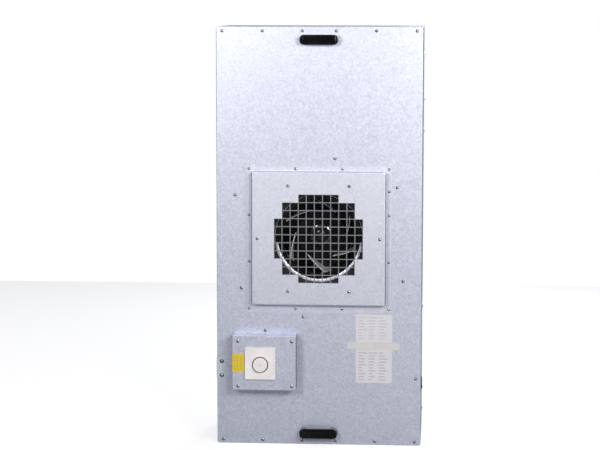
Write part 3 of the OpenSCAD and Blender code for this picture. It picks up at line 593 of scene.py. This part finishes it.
def merged_copy(name):
    """A node's mesh with its loose triangles joined and its flat faces made whole."""
    bm = bmesh.new()
    bm.from_mesh(nodes[name].data)
    bmesh.ops.remove_doubles(bm, verts=bm.verts, dist=MERGE)
    bmesh.ops.dissolve_limit(bm, angle_limit=math.radians(FLAT_DEG), verts=bm.verts, edges=bm.edges)
    return bm


def soften(bm, width, segments=2, edges=None):
    """Rounds the given edges, or every edge that is sharper than EDGE_DEG."""
    if edges is None:
        edges = [e for e in bm.edges if e.is_manifold and e.calc_face_angle() > math.radians(EDGE_DEG)]
    bmesh.ops.bevel(bm, geom=edges, offset=width, offset_type="OFFSET", segments=segments, profile=0.5,
                    affect="EDGES", clamp_overlap=True, material=-1)


def finish_piece(name, bm, body, mat, replaced=(), weighted=False):
    """Makes the mesh a finished piece, with its material, body and the nodes it replaces."""
    piece = mesh_object(name, bm)
    piece.data.shade_smooth()
    piece.data.set_sharp_from_angle(angle=math.radians(SMOOTH_DEG))
    piece.data.materials.append(mat)
    if weighted:
        normals = piece.modifiers.new("even_normals", "WEIGHTED_NORMAL")
        normals.keep_sharp = True
    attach(piece, body)
    if replaced:
        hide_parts(*replaced)
    return piece


def dress(name, width, mat=None, segments=2):
    """A node's softened copy, which takes the node's place."""
    bm = merged_copy(name)
    if width:
        soften(bm, width * MM, segments)
    return finish_piece(name + "_dressed", bm, body_of[name],
                        mat or SLOT_FINISH[slot_of[name]], [name], weighted=True)


def refinish(piece, mat, chosen):
    """Gives a second finish to the faces that a test picks."""
    piece.data.materials.append(mat)
    picked = [face for face in piece.data.polygons if chosen(face)]
    for face in picked:
        face.material_index = 1
    print(piece.name, "has", len(picked), "of", len(piece.data.polygons), "faces in", mat.name)


def thicken(bm, thickness):
    """Gives a single sheet its thickness."""
    bmesh.ops.recalc_face_normals(bm, faces=bm.faces)
    bmesh.ops.solidify(bm, geom=bm.faces[:], thickness=thickness)
    bmesh.ops.recalc_face_normals(bm, faces=bm.faces)


# %% Softened sheet and mouldings
SOFT_EDGES = {
    "housing_shell": 0.25, "end_wall_top": 0.25, "end_wall_bottom": 0.25, "control_box": 0.25,
    "control_box_cover": 0.25, "corner_strap": 0.3, "side_plug": 0.8, "motor_spider": 0.3,
    "motor_stator": 0.5, "fan_posts": 0.4, "motor_bearings": 0.3, "motor_shaft": 0.3,
    "filter_rail_left": 0.3, "filter_rail_right": 0.3, "filter_rail_top": 0.3,
    "filter_rail_bottom": 0.3, "filter_clips": 0.25, "filter_gasket": 0.8, "speed_regulator": 0.6,
    "terminal_block": 0.4, "run_capacitor": 1.0, "regulator_shaft": 0.2, "cable_grommet": 0.2,
    "impeller_shroud": 0, "impeller_back_plate": 0.2, "motor_rotor": 1.4,
}
OWN_FINISH = {"corner_strap": STRAP_ZINC}
for name, width in SOFT_EDGES.items():
    dress(name, width, OWN_FINISH.get(name))
dress("inlet_pan", 0.2, PAN_ZINC)
dress("impeller_blades", 0.3, BLADE_GREY)
print("softened", len(SOFT_EDGES) + 2, "nodes")

# %% [markdown]
# ## Flanges that face sideways
# The pan and the control box stand proud of the front. In soft light their raised edges would melt into
# it, so the faces of their side walls get a darker zinc as painted shade, picked by the way they point.

# %% Side flanges
FRONT_RIM = 0.3 * MM
SIDEWAYS = 0.6
for name in ("inlet_pan", "control_box", "control_box_cover"):
    piece = bpy.data.objects[name + "_dressed"]
    low = min(vert.co.y for vert in piece.data.vertices)
    refinish(piece, FLANK_SHADE, lambda face: low + FRONT_RIM < face.center.y < FRONT_Y
             and abs(face.normal.x) > SIDEWAYS)

# %% [markdown]
# ## Handles
# Each handle is one glossy black moulding with half-round ends: two feet and a flat grip. A bevel can't
# turn a square end into a half circle, so the copy is cut into thin slices, and each slice's corners are
# drawn in toward the handle's spine. The same cuts near the front round its rim.

# %% Handles
HANDLE_ROUND = 3.0 * MM
END_CUTS = 7
RIM_CUTS = 5
THINNEST = 0.12


def cut(bm, place, normal, clear_outer=False):
    """Cuts all of a bmesh along a plane."""
    bmesh.ops.bisect_plane(bm, geom=bm.verts[:] + bm.edges[:] + bm.faces[:], plane_co=place,
                           plane_no=normal, clear_outer=clear_outer)


def rounded_handle(name):
    """A handle's copy with half-round ends and a rounded front rim, both drawn in toward its spine."""
    low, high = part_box(name)
    middle = (low + high) / 2
    radius = (high.z - low.z) / 2
    straight = (high.x - low.x) / 2 - radius
    ends = [middle.x + side * (straight + radius * math.sin(math.pi / 2 * step / END_CUTS))
            for side in (-1, 1) for step in range(END_CUTS)]
    rims = [low.y + HANDLE_ROUND * (1 - math.cos(math.pi / 2 * step / RIM_CUTS))
            for step in range(1, RIM_CUTS + 1)]
    cuts = [((x, 0, 0), (1, 0, 0)) for x in ends] + [((0, y, 0), (0, 1, 0)) for y in rims]
    bm = merged_copy(name)
    for place, normal in cuts:
        cut(bm, place, normal)
    for vert in bm.verts:
        across = vert.co.x - middle.x
        past = min(radius, max(0.0, abs(across) - straight))
        share = max(THINNEST, math.sqrt(1 - (past / radius) ** 2))
        vert.co.z = middle.z + (vert.co.z - middle.z) * share
        depth = (vert.co.y - low.y) / HANDLE_ROUND
        if depth < 1:
            along = math.copysign(min(abs(across), straight), across)
            spine = Vector((middle.x + along, vert.co.y, middle.z))
            drawn_in = HANDLE_ROUND * (1 - math.sqrt(1 - (1 - max(0.0, depth)) ** 2))
            vert.co = spine + (vert.co - spine) * (1 - drawn_in / radius)
    return finish_piece(name + "_moulding", bm, "housing", BLACK_GLOSS, [name],
                        weighted=True)


for name in ("handle_top", "handle_bottom"):
    print(name, "has", len(rounded_handle(name).data.polygons), "faces")

# %% [markdown]
# ## Wall plate and knob
# The speed regulator hides behind a white wall plate with a round recess, in which the knob turns. Both
# are softened copies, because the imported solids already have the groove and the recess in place.

# %% Plate and knob
dress("dial_plate", 0.5, segments=3)
dress("speed_knob", 0.35)
print("plate rim rounded by 0.5 mm and knob by 0.35 mm")

# %% [markdown]
# ## Intake ring and the painted shade behind the grille
# The bell-mouthed ring guides air into the fan. Its rolled lip is bare zinc below the middle, where it
# catches the light from above. Its throat, the part deep behind the lip and the lip's upper part take the
# fan's black as painted shade. The ring keeps its CAD shape, and only its faces are shared between the
# two finishes. The dark felt sheet on the plate behind the grille is painted shade too: a square outline
# bridged to a circle.

# %% Ring in two finishes
LIP_R = 114.5
LIP_DEPTH = 6.0
LIP_TOP = -14.0


def unlit(face):
    """True where the ring gets painted shade: in the throat, deep behind the lip and on the lip's upper
    part.
    """
    off = face.center - ring_centre
    inner = math.hypot(off.x, off.z) < LIP_R * MM or face.center.y > ring_low.y + LIP_DEPTH * MM
    return inner or off.z > LIP_TOP * MM


refinish(dress("inlet_ring", 0), FAN_BLACK, unlit)

# %% Painted shade sheet behind the grille
FELT_HALF = 168.0
FELT_HOLE_R = 123.5
FELT_GAP = 2.4
FELT_T = 0.5
# The felt sheet is painted shade on the plate behind the grille.
felt = bmesh.new()
outer = bmesh.ops.create_circle(felt, segments=4, radius=FELT_HALF * MM * math.sqrt(2))["verts"]
bmesh.ops.rotate(felt, cent=(0, 0, 0), matrix=Matrix.Rotation(math.radians(45), 3, "Z"), verts=outer)
inner = bmesh.ops.create_circle(felt, segments=64, radius=FELT_HOLE_R * MM)["verts"]
bmesh.ops.bridge_loops(felt, edges=felt.edges[:])
bmesh.ops.rotate(felt, cent=(0, 0, 0), matrix=Matrix.Rotation(math.radians(90), 3, "X"),
                 verts=felt.verts)
bmesh.ops.translate(felt, vec=(ring_centre.x, FRONT_Y - FELT_GAP * MM, ring_centre.z), verts=felt.verts)
thicken(felt, FELT_T * MM)
finish_piece("grille_shade_sheet", felt, "housing", SHADE_FELT)

# %% [markdown]
# ## Hub cap
# The motor's hub carries a pressed cap with a domed ring of glossy enamel. Each lamp in front shows on it
# as a short bright arc. It is a body of revolution, so half of its outline is drawn once and spun about
# the shaft.


# %% Spinning an outline
def lathe(points, centre, axis, steps, merge):
    """Spins a line of points about an axis."""
    bm = bmesh.new()
    line = [bm.verts.new(point) for point in points]
    edges = [bm.edges.new(pair) for pair in zip(line, line[1:])]
    bmesh.ops.spin(bm, geom=line + edges, cent=centre, axis=axis, angle=math.tau, steps=steps,
                   use_merge=True)
    bmesh.ops.remove_doubles(bm, verts=bm.verts, dist=merge)
    return bm


def spun(outline, centre, segments=48):
    """Spins (radius, depth) pairs, in millimetres from the shaft and along it, into a closed skin."""
    points = [(centre.x + r * MM, d * MM, centre.z) for r, d in outline]
    bm = lathe(points, centre, (0, 1, 0), segments, MERGE)
    bmesh.ops.recalc_face_normals(bm, faces=bm.faces)
    return bm


cap_low, cap_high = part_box("rotor_cap")
hub_centre = (cap_low + cap_high) / 2
hub_centre.y = 0
CAP_BACK = cap_high.y / MM
CAP_FRONT = -78.0
cap_outline = [(0, CAP_BACK), (32, CAP_BACK)] + [(r, CAP_FRONT + d) for r, d in (
    (32, 5), (31.6, 3), (30.4, 1.9), (29, 1.15), (27.5, 0.65), (26, 0.3), (24.5, 0.08), (23, 0),
    (21.6, 1.6), (21, 4), (8, 5), (6.5, 3.6), (0, 3.2))]
cap = finish_piece("hub_cap", spun(cap_outline, hub_centre), "impeller", FAN_BLACK,
                   ["rotor_cap"])
DOME_R = (22.0, 31.8)
DOME_DEPTH = 6


def on_dome(face):
    """True for the faces of the domed ring."""
    off = face.center - hub_centre
    across = DOME_R[0] * MM < math.hypot(off.x, off.z) < DOME_R[1] * MM
    return across and off.y < (CAP_FRONT + DOME_DEPTH) * MM


refinish(cap, HUB_GLOSS, on_dome)

# %% [markdown]
# ## Washer and pin of the knob
# A grey ring lies in the plate's recess round the knob, with a low rim over the plate, and a small dark
# dot sits in the knob; both are painted shade, of the recess and of the knob's centre hole. Both are
# spun.
# The ring stays on the housing, and the dot turns with the knob.

# %% Knob shade ring and dot
knob_low, knob_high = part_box("speed_knob")
knob_centre = (knob_low + knob_high) / 2
knob_centre.y = 0
plate_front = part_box("dial_plate")[0].y / MM
# Dark grey painted shade for the knob's recess and its centre hole.
KNOB_SHADE = moulded("knob_shade_grey", (0.12, 0.115, 0.105), 0.6, 0.8, 900.0, 0.1)
shade_ring = [(r, plate_front + d) for r, d in (
    (18.5, 1.15), (18.5, 0.75), (20.5, 0.75), (20.6, -0.25), (20.9, -0.4), (22.7, -0.4),
    (23.0, -0.02), (21.9, -0.02), (21.9, 1.15), (18.5, 1.15))]
finish_piece("knob_shade_ring", spun(shade_ring, knob_centre), "housing", KNOB_SHADE)
shade_dot_front = knob_low.y / MM
shade_dot = [(r, shade_dot_front + d) for r, d in ((0, 0.9), (1.5, 0.9), (1.5, 0.15), (1.1, 0), (0, 0))]
finish_piece("knob_shade_dot", spun(shade_dot, knob_centre, 16), "knob", KNOB_SHADE)
print("washer and pin about x", round(knob_centre.x / MM, 1), "z", round(knob_centre.z / MM, 1), "mm")

# %% [markdown]
# ## Screws and rivets
# Forty-two screws and forty-one rivets hold the sheet together. Each CAD node keeps a group of them as
# separate solids, which say where every head sits and which way it faces. The screw head starts as a
# grid, because a grid gives the cross recess its straight walls, and is then rounded to a disc.


# %% Where the fasteners sit
RIM_SHARE = 0.97


def solids(name):
    """The separate solids of a node, each as a list of corner points, in the mesh's own order."""
    bm = merged_copy(name)
    waiting = set(bm.verts)
    found = []
    for start in bm.verts:
        if start not in waiting:
            continue
        waiting.discard(start)
        fringe = [start]
        solid = []
        while fringe:
            vert = fringe.pop()
            solid.append(vert.co.copy())
            near = [e.other_vert(vert) for e in vert.link_edges if e.other_vert(vert) in waiting]
            waiting.difference_update(near)
            fringe.extend(near)
        found.append(solid)
    bm.free()
    return found


def seating(points):
    """A fastener's seat, outward direction, head radius, head height and shank length."""
    low = Vector([min(p[i] for p in points) for i in range(3)])
    high = Vector([max(p[i] for p in points) for i in range(3)])
    size = high - low
    middle = (low + high) / 2
    gaps = [abs(size[(i + 1) % 3] - size[(i + 2) % 3]) for i in range(3)]
    axis = gaps.index(min(gaps))
    radius = max(size[(axis + 1) % 3], size[(axis + 2) % 3]) / 2
    across = Vector([0.0 if i == axis else 1.0 for i in range(3)])
    wide = [p[axis] for p in points if ((p - middle) * across).length > radius * RIM_SHARE]
    near_low = sum(wide) / len(wide) - low[axis] < high[axis] - sum(wide) / len(wide)
    seat = max(wide) if near_low else min(wide)
    out = Vector([(-1.0 if near_low else 1.0) if i == axis else 0.0 for i in range(3)])
    place = middle.copy()
    place[axis] = seat
    end_out = low[axis] if near_low else high[axis]
    end_in = high[axis] if near_low else low[axis]
    return place, out, radius, abs(end_out - seat), abs(end_in - seat)


# %% Screw head and rivet head
def screw_head():
    """A pan head of radius 1 and height 1 with a cross recess, open below."""
    bm = bmesh.new()
    bmesh.ops.create_grid(bm, x_segments=5, y_segments=5, size=1.0)
    cross = [f for f in bm.faces if min(abs(v) for v in f.calc_center_median().xy) < 0.1
             and max(abs(v) for v in f.calc_center_median().xy) < 0.5]
    for vert in bm.verts:
        x, y = vert.co.xy
        vert.co.x = x * math.sqrt(1 - y * y / 2)
        vert.co.y = y * math.sqrt(1 - x * x / 2)
        vert.co.z = 0.45 + 0.55 * math.sqrt(max(0.0, 1 - vert.co.xy.length_squared))
    made = bmesh.ops.extrude_face_region(bm, geom=cross)["geom"]
    floor_verts = [v for v in made if isinstance(v, bmesh.types.BMVert)]
    bmesh.ops.delete(bm, geom=cross, context="FACES")
    bmesh.ops.translate(bm, vec=(0, 0, -0.55), verts=floor_verts)
    bmesh.ops.scale(bm, vec=(0.75, 0.75, 1.0), verts=floor_verts)
    rim = [e for e in bm.edges if e.is_boundary]
    wall = bmesh.ops.extrude_edge_only(bm, edges=rim)["geom"]
    for vert in wall:
        if isinstance(vert, bmesh.types.BMVert):
            vert.co.z = 0.0
    return bm


def rivet_head():
    """A domed blind rivet of radius 1 and height 1 with the dimple of its broken mandrel."""
    outline = [(0, 0.45), (0.24, 0.45), (0.32, 1.0), (0.62, 0.86), (0.88, 0.52), (1.0, 0.0)]
    return lathe([(r, 0, z) for r, z in outline], (0, 0, 0), (0, 0, 1), 12, 1e-4)


def stamp(target, pattern, matrix):
    """Adds a transformed copy of a small pattern mesh to a bmesh."""
    before = len(target.verts)
    target.from_mesh(pattern)
    target.verts.ensure_lookup_table()
    bmesh.ops.transform(target, matrix=matrix, verts=target.verts[before:])


def pattern_mesh(name, bm):
    """Keeps a small bmesh as a mesh that stamp can copy."""
    bmesh.ops.recalc_face_normals(bm, faces=bm.faces)
    return kept_mesh(name, bm)


def shank():
    """A plain eight-sided shank of radius 1 that runs from 0 down to -1."""
    bm = bmesh.new()
    bmesh.ops.create_cone(bm, cap_ends=True, segments=8, radius1=1, radius2=1, depth=1,
                          matrix=Matrix.Translation((0, 0, -0.5)))
    return bm


SCREW_HEAD = pattern_mesh("screw_head", screw_head())
RIVET_HEAD = pattern_mesh("rivet_head", rivet_head())
SHANK = pattern_mesh("shank", shank())
SHANK_SHARE = 0.44
SHORTEST_SHANK = 0.2 * MM
TWIST_DEG = 37


def fasteners(name, head):
    """All the fasteners of one node, each with its head on its own seat and turned its own way."""
    bm = bmesh.new()
    for count, points in enumerate(solids(name)):
        place, out, radius, height, depth = seating(points)
        turn = out.to_track_quat("Z", "Y").to_matrix().to_4x4()
        twist = Matrix.Rotation(math.radians(TWIST_DEG * count), 4, "Z")
        base = Matrix.Translation(place) @ turn @ twist
        stamp(bm, head, base @ Matrix.Diagonal((radius, radius, height, 1)))
        if depth > SHORTEST_SHANK:
            thin = radius * SHANK_SHARE
            stamp(bm, SHANK, base @ Matrix.Diagonal((thin, thin, depth, 1)))
    finish_piece(name + "_dressed", bm, body_of[name], BRIGHT_ZINC, [name])
    return count + 1


made = {name: fasteners(name, SCREW_HEAD) for name in
        ("plate_screws", "pan_screws", "box_screws", "fan_post_screws", "motor_screws", "strap_screws",
         "earth_screw")}
made.update({name: fasteners(name, RIVET_HEAD) for name in ("pan_rivets", "ring_rivets", "clip_rivets")})
print("fasteners:", made)

# %% [markdown]
# ## Papers, tape and sticker
# A delivery paper hangs in two leaves under a strip of clear tape. Flat rectangles look pasted in, so
# each sheet is a fine grid with a slow wave that grows toward its edges. The print, also on the yellow
# film, is only rows of short grey bars, made in the material.


# %% Ruled bars
def make_bars():
    """Rows of short bars: Mask is 1 on the ink, and Columns is how many blocks stand side by side."""
    inputs = {"Left": 0.0, "Top": 0.0, "Width": 0.1, "Height": 0.1, "Pitch": 0.006, "Columns": 1.0}
    tree, given, result = group("ruled_bars", inputs, ("Mask",))
    parts = tree.nodes.new("ShaderNodeSeparateXYZ")
    tree.links.new(object_place(tree), parts.inputs[0])
    across = maths(tree, "DIVIDE", maths(tree, "SUBTRACT", parts.outputs["X"], given.outputs["Left"]),
                   given.outputs["Width"])
    down = maths(tree, "SUBTRACT", given.outputs["Top"], parts.outputs["Z"])
    column = maths(tree, "MULTIPLY", across, given.outputs["Columns"])
    row = maths(tree, "DIVIDE", down, given.outputs["Pitch"])
    cell = tree.nodes.new("ShaderNodeCombineXYZ")
    tree.links.new(maths(tree, "FLOOR", column), cell.inputs[0])
    tree.links.new(maths(tree, "FLOOR", row), cell.inputs[1])
    dice = tree.nodes.new("ShaderNodeTexWhiteNoise")
    dice.noise_dimensions = "2D"
    tree.links.new(cell.outputs[0], dice.inputs["Vector"])
    reach = maths(tree, "ADD", maths(tree, "MULTIPLY", dice.outputs["Value"], 0.5), 0.35)
    inked = maths(tree, "LESS_THAN", maths(tree, "FRACT", column), reach)
    line = maths(tree, "LESS_THAN", maths(tree, "FRACT", row), 0.34)
    aside = maths(tree, "ABSOLUTE", maths(tree, "SUBTRACT", across, 0.5))
    inside = maths(tree, "MULTIPLY", maths(tree, "LESS_THAN", aside, 0.5),
                   maths(tree, "GREATER_THAN", down, 0.0))
    low = maths(tree, "LESS_THAN", down, given.outputs["Height"])
    ink = maths(tree, "MULTIPLY", maths(tree, "MULTIPLY", inked, line),
                maths(tree, "MULTIPLY", inside, low))
    tree.links.new(ink, result.inputs["Mask"])
    return tree


BARS = make_bars()
PRINT_GREY = (0.20, 0.205, 0.23)


def printed_paper(name, box, columns, pitch, share, base=PAPER, margin=0.008):
    """A copy of a finish with ruled bars inside a margin of the box; share is how dark the print is."""
    mat = base.copy()
    mat.name = name
    low, high = box
    bars = use_group(mat, BARS, Left=low.x + margin, Top=high.z - margin, Pitch=pitch, Columns=columns,
                     Width=high.x - low.x - 2 * margin, Height=high.z - low.z - 2 * margin)
    overlay(mat, maths(mat.node_tree, "MULTIPLY", bars.outputs["Mask"], share), PRINT_GREY)
    return mat


# %% Sheets that lie on the front
UPRIGHT = Matrix.Rotation(math.radians(90), 4, "X")
SHEET_T = 0.1
SHEET_GAP = 0.12


def laid_sheet(name, mat, wave, tilt_deg=0.0, lift=0.0):
    """A thin sheet in a node's place, slightly wavy, turned a little in its own plane."""
    low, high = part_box(name)
    middle = (low + high) / 2
    bm = bmesh.new()
    bmesh.ops.create_grid(bm, x_segments=28, y_segments=20, size=0.5, matrix=UPRIGHT)
    width, height = high.x - low.x, high.z - low.z
    bmesh.ops.scale(bm, vec=(width, 1, height), verts=bm.verts)
    for vert in bm.verts:
        ripple = math.sin(vert.co.x * 70 + 1.3) * math.sin(vert.co.z * 55 + 0.4)
        edge = max(abs(vert.co.x) / width, abs(vert.co.z) / height) * 2
        vert.co.y = -wave * MM * (0.5 + 0.5 * ripple) * edge ** 2
    bmesh.ops.rotate(bm, cent=(0, 0, 0), matrix=Matrix.Rotation(math.radians(tilt_deg), 3, "Y"),
                     verts=bm.verts)
    bmesh.ops.translate(bm, vec=(middle.x, high.y - (SHEET_GAP + lift) * MM, middle.z), verts=bm.verts)
    thicken(bm, SHEET_T * MM)
    finish_piece(name + "_sheet", bm, "housing", mat, [name])


PRINT_COLUMNS = 3
PAPER_PITCH = 0.0085
FILM_PITCH = 0.0042
FILM_MARGIN = 0.003
upper = printed_paper("upper_paper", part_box("upper_label"), PRINT_COLUMNS, PAPER_PITCH, 0.30)
lower = printed_paper("lower_paper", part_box("lower_label"), PRINT_COLUMNS, PAPER_PITCH, 0.48)
film = printed_paper("ruled_film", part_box("yellow_sticker"), PRINT_COLUMNS, FILM_PITCH, 0.62, YELLOW,
                     FILM_MARGIN)
laid_sheet("upper_label", upper, 0.7, 0.3)
laid_sheet("lower_label", lower, 0.8, -0.2)
laid_sheet("clear_tape", TAPE, 0.25, 1.1, 0.35)
laid_sheet("yellow_sticker", film, 0.15, 0.5)
print("laid four sheets on the front")

# %% [markdown]
# ## Pleated filter
# The filter pack is one long paper folded into hundreds of deep, narrow pleats, with threads of hot-melt
# glue that hold the folds apart. A grid is enough: every other row of points goes back by the pack's
# depth. The glue is a row of thin strips across the folds.

# %% Pleats and glue
media_low, media_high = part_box("filter_media")
PLEAT_MM = 3.2
GLUE_MM = 26.0
GLUE_W = 1.4 * MM
GLUE_T = 1.0 * MM
media_w, media_h = media_high.x - media_low.x, media_high.z - media_low.z
media_middle = (media_low + media_high) / 2
pleat_rows = 2 * round(media_h / (PLEAT_MM * MM))
bm = bmesh.new()
bmesh.ops.create_grid(bm, x_segments=8, y_segments=pleat_rows, size=0.5, matrix=UPRIGHT)
bmesh.ops.scale(bm, vec=(media_w, 1, media_h), verts=bm.verts)
for vert in bm.verts:
    row = round((vert.co.z + media_h / 2) * pleat_rows / media_h)
    vert.co.y = media_high.y - 1.0 * MM if row % 2 else media_low.y + 1.0 * MM
    vert.co.z += media_middle.z
    vert.co.x += media_middle.x
finish_piece("pleated_pack", bm, "housing", MEDIA, ["filter_media"])
bm = bmesh.new()
glue_count = round(media_w / (GLUE_MM * MM))
for index in range(glue_count):
    x = media_low.x + (index + 0.5) * media_w / glue_count
    strip = bmesh.ops.create_cube(bm, size=1.0)["verts"]
    bmesh.ops.scale(bm, vec=(GLUE_W, GLUE_T, media_h - 2 * MM), verts=strip)
    bmesh.ops.translate(bm, vec=(x, media_high.y - GLUE_T / 2, media_middle.z), verts=strip)
soften(bm, 0.3 * MM)
finish_piece("glue_threads", bm, "housing", GLUE)
print("pleats:", pleat_rows // 2, "and glue threads:", glue_count)

# %% [markdown]
# ## Expanded-metal guard
# A white mesh of slit and stretched steel keeps fingers off the pack. It is a grid turned by 45 degrees
# and squashed into diamonds, cut to the frame, and given its strands with the wireframe operator.

# %% Guard
guard_low, guard_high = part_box("filter_guard")
guard_middle = (guard_low + guard_high) / 2
DIAMOND_W = 17.0
DIAMOND_H = 8.5
STRAND = 1.3
SLIVER_AREA = 4e-6
bm = bmesh.new()
cells = 160
bmesh.ops.create_grid(bm, x_segments=cells, y_segments=cells, size=0.5 * cells,
                      matrix=UPRIGHT)
bmesh.ops.rotate(bm, cent=(0, 0, 0), matrix=Matrix.Rotation(math.radians(45), 3, "Y"), verts=bm.verts)
stretch = math.sqrt(0.5) * MM
bmesh.ops.scale(bm, vec=(DIAMOND_W * stretch, 1, DIAMOND_H * stretch), verts=bm.verts)
bmesh.ops.translate(bm, vec=guard_middle, verts=bm.verts)
GUARD_INSET = 1.0 * MM
for point, normal in ((guard_low, (-1, 0, 0)), (guard_low, (0, 0, -1)), (guard_high, (1, 0, 0)),
                      (guard_high, (0, 0, 1))):
    cut(bm, Vector(point) - Vector(normal) * GUARD_INSET, normal, clear_outer=True)
tiny = [f for f in bm.faces if f.calc_area() < SLIVER_AREA]
bmesh.ops.delete(bm, geom=tiny, context="FACES")
bmesh.ops.wireframe(bm, faces=bm.faces[:], thickness=STRAND * MM, use_even_offset=True, use_replace=True,
                    use_boundary=True)
print("guard faces:", len(bm.faces), "triangles about", sum(len(f.verts) - 2 for f in bm.faces))
for vert in bm.verts:
    vert.co.y = min(max(vert.co.y, guard_low.y + 0.1 * MM), guard_high.y)
finish_piece("expanded_guard", bm, "housing", WHITE_PAINT, ["filter_guard"])

# %% [markdown]
# ## Acoustic lining
# Black foam lines the walls of the fan chamber and keeps the intake dark: painted shade for the inside of
# the chamber. Four slabs are enough: each is a box with softened edges that stands just off its wall.
# enough: each is a box with softened edges that stands just off its wall.

# %% Lining
lining = bmesh.new()
LINING_T = 10.0 * MM
GAP = 1.6 * MM
shell_low, shell_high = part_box("housing_shell")
BEHIND_FRONT = 14 * MM
BEFORE_BACK = 30 * MM
x0, y0, z0 = shell_low.x + GAP, shell_low.y + BEHIND_FRONT, shell_low.z + GAP
x1, y1, z1 = shell_high.x - GAP, shell_high.y - BEFORE_BACK, shell_high.z - GAP
slabs = [(x0, x0 + LINING_T, z0, z1), (x1 - LINING_T, x1, z0, z1),
         (x0 + LINING_T, x1 - LINING_T, z1 - LINING_T, z1),
         (x0 + LINING_T, x1 - LINING_T, z0, z0 + LINING_T)]
for left, right, under, over in slabs:
    low, high = Vector((left, y0, under)), Vector((right, y1, over))
    verts = bmesh.ops.create_cube(lining, size=1.0)["verts"]
    bmesh.ops.scale(lining, vec=high - low, verts=verts)
    bmesh.ops.translate(lining, vec=(low + high) / 2, verts=verts)
soften(lining, 1.5 * MM)
finish_piece("lining_painted_shade", lining, "housing", FOAM, weighted=True)
print("lining slabs:", len(slabs))

# %% [markdown]
# ## The nodes that stay
# A node that no new piece replaces keeps its own mesh. It only needs its finish.

# %% Dress what is left
for name, node in nodes.items():
    node.data.materials.clear()
    node.data.materials.append(SLOT_FINISH[slot_of[name]])
print("filled the slots of", len(nodes), "nodes")

# %% [markdown]
# ## Sizes at the end
# The box of everything that renders, the floor left out, is taken at the end.

# %% The box at the end
low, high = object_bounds()
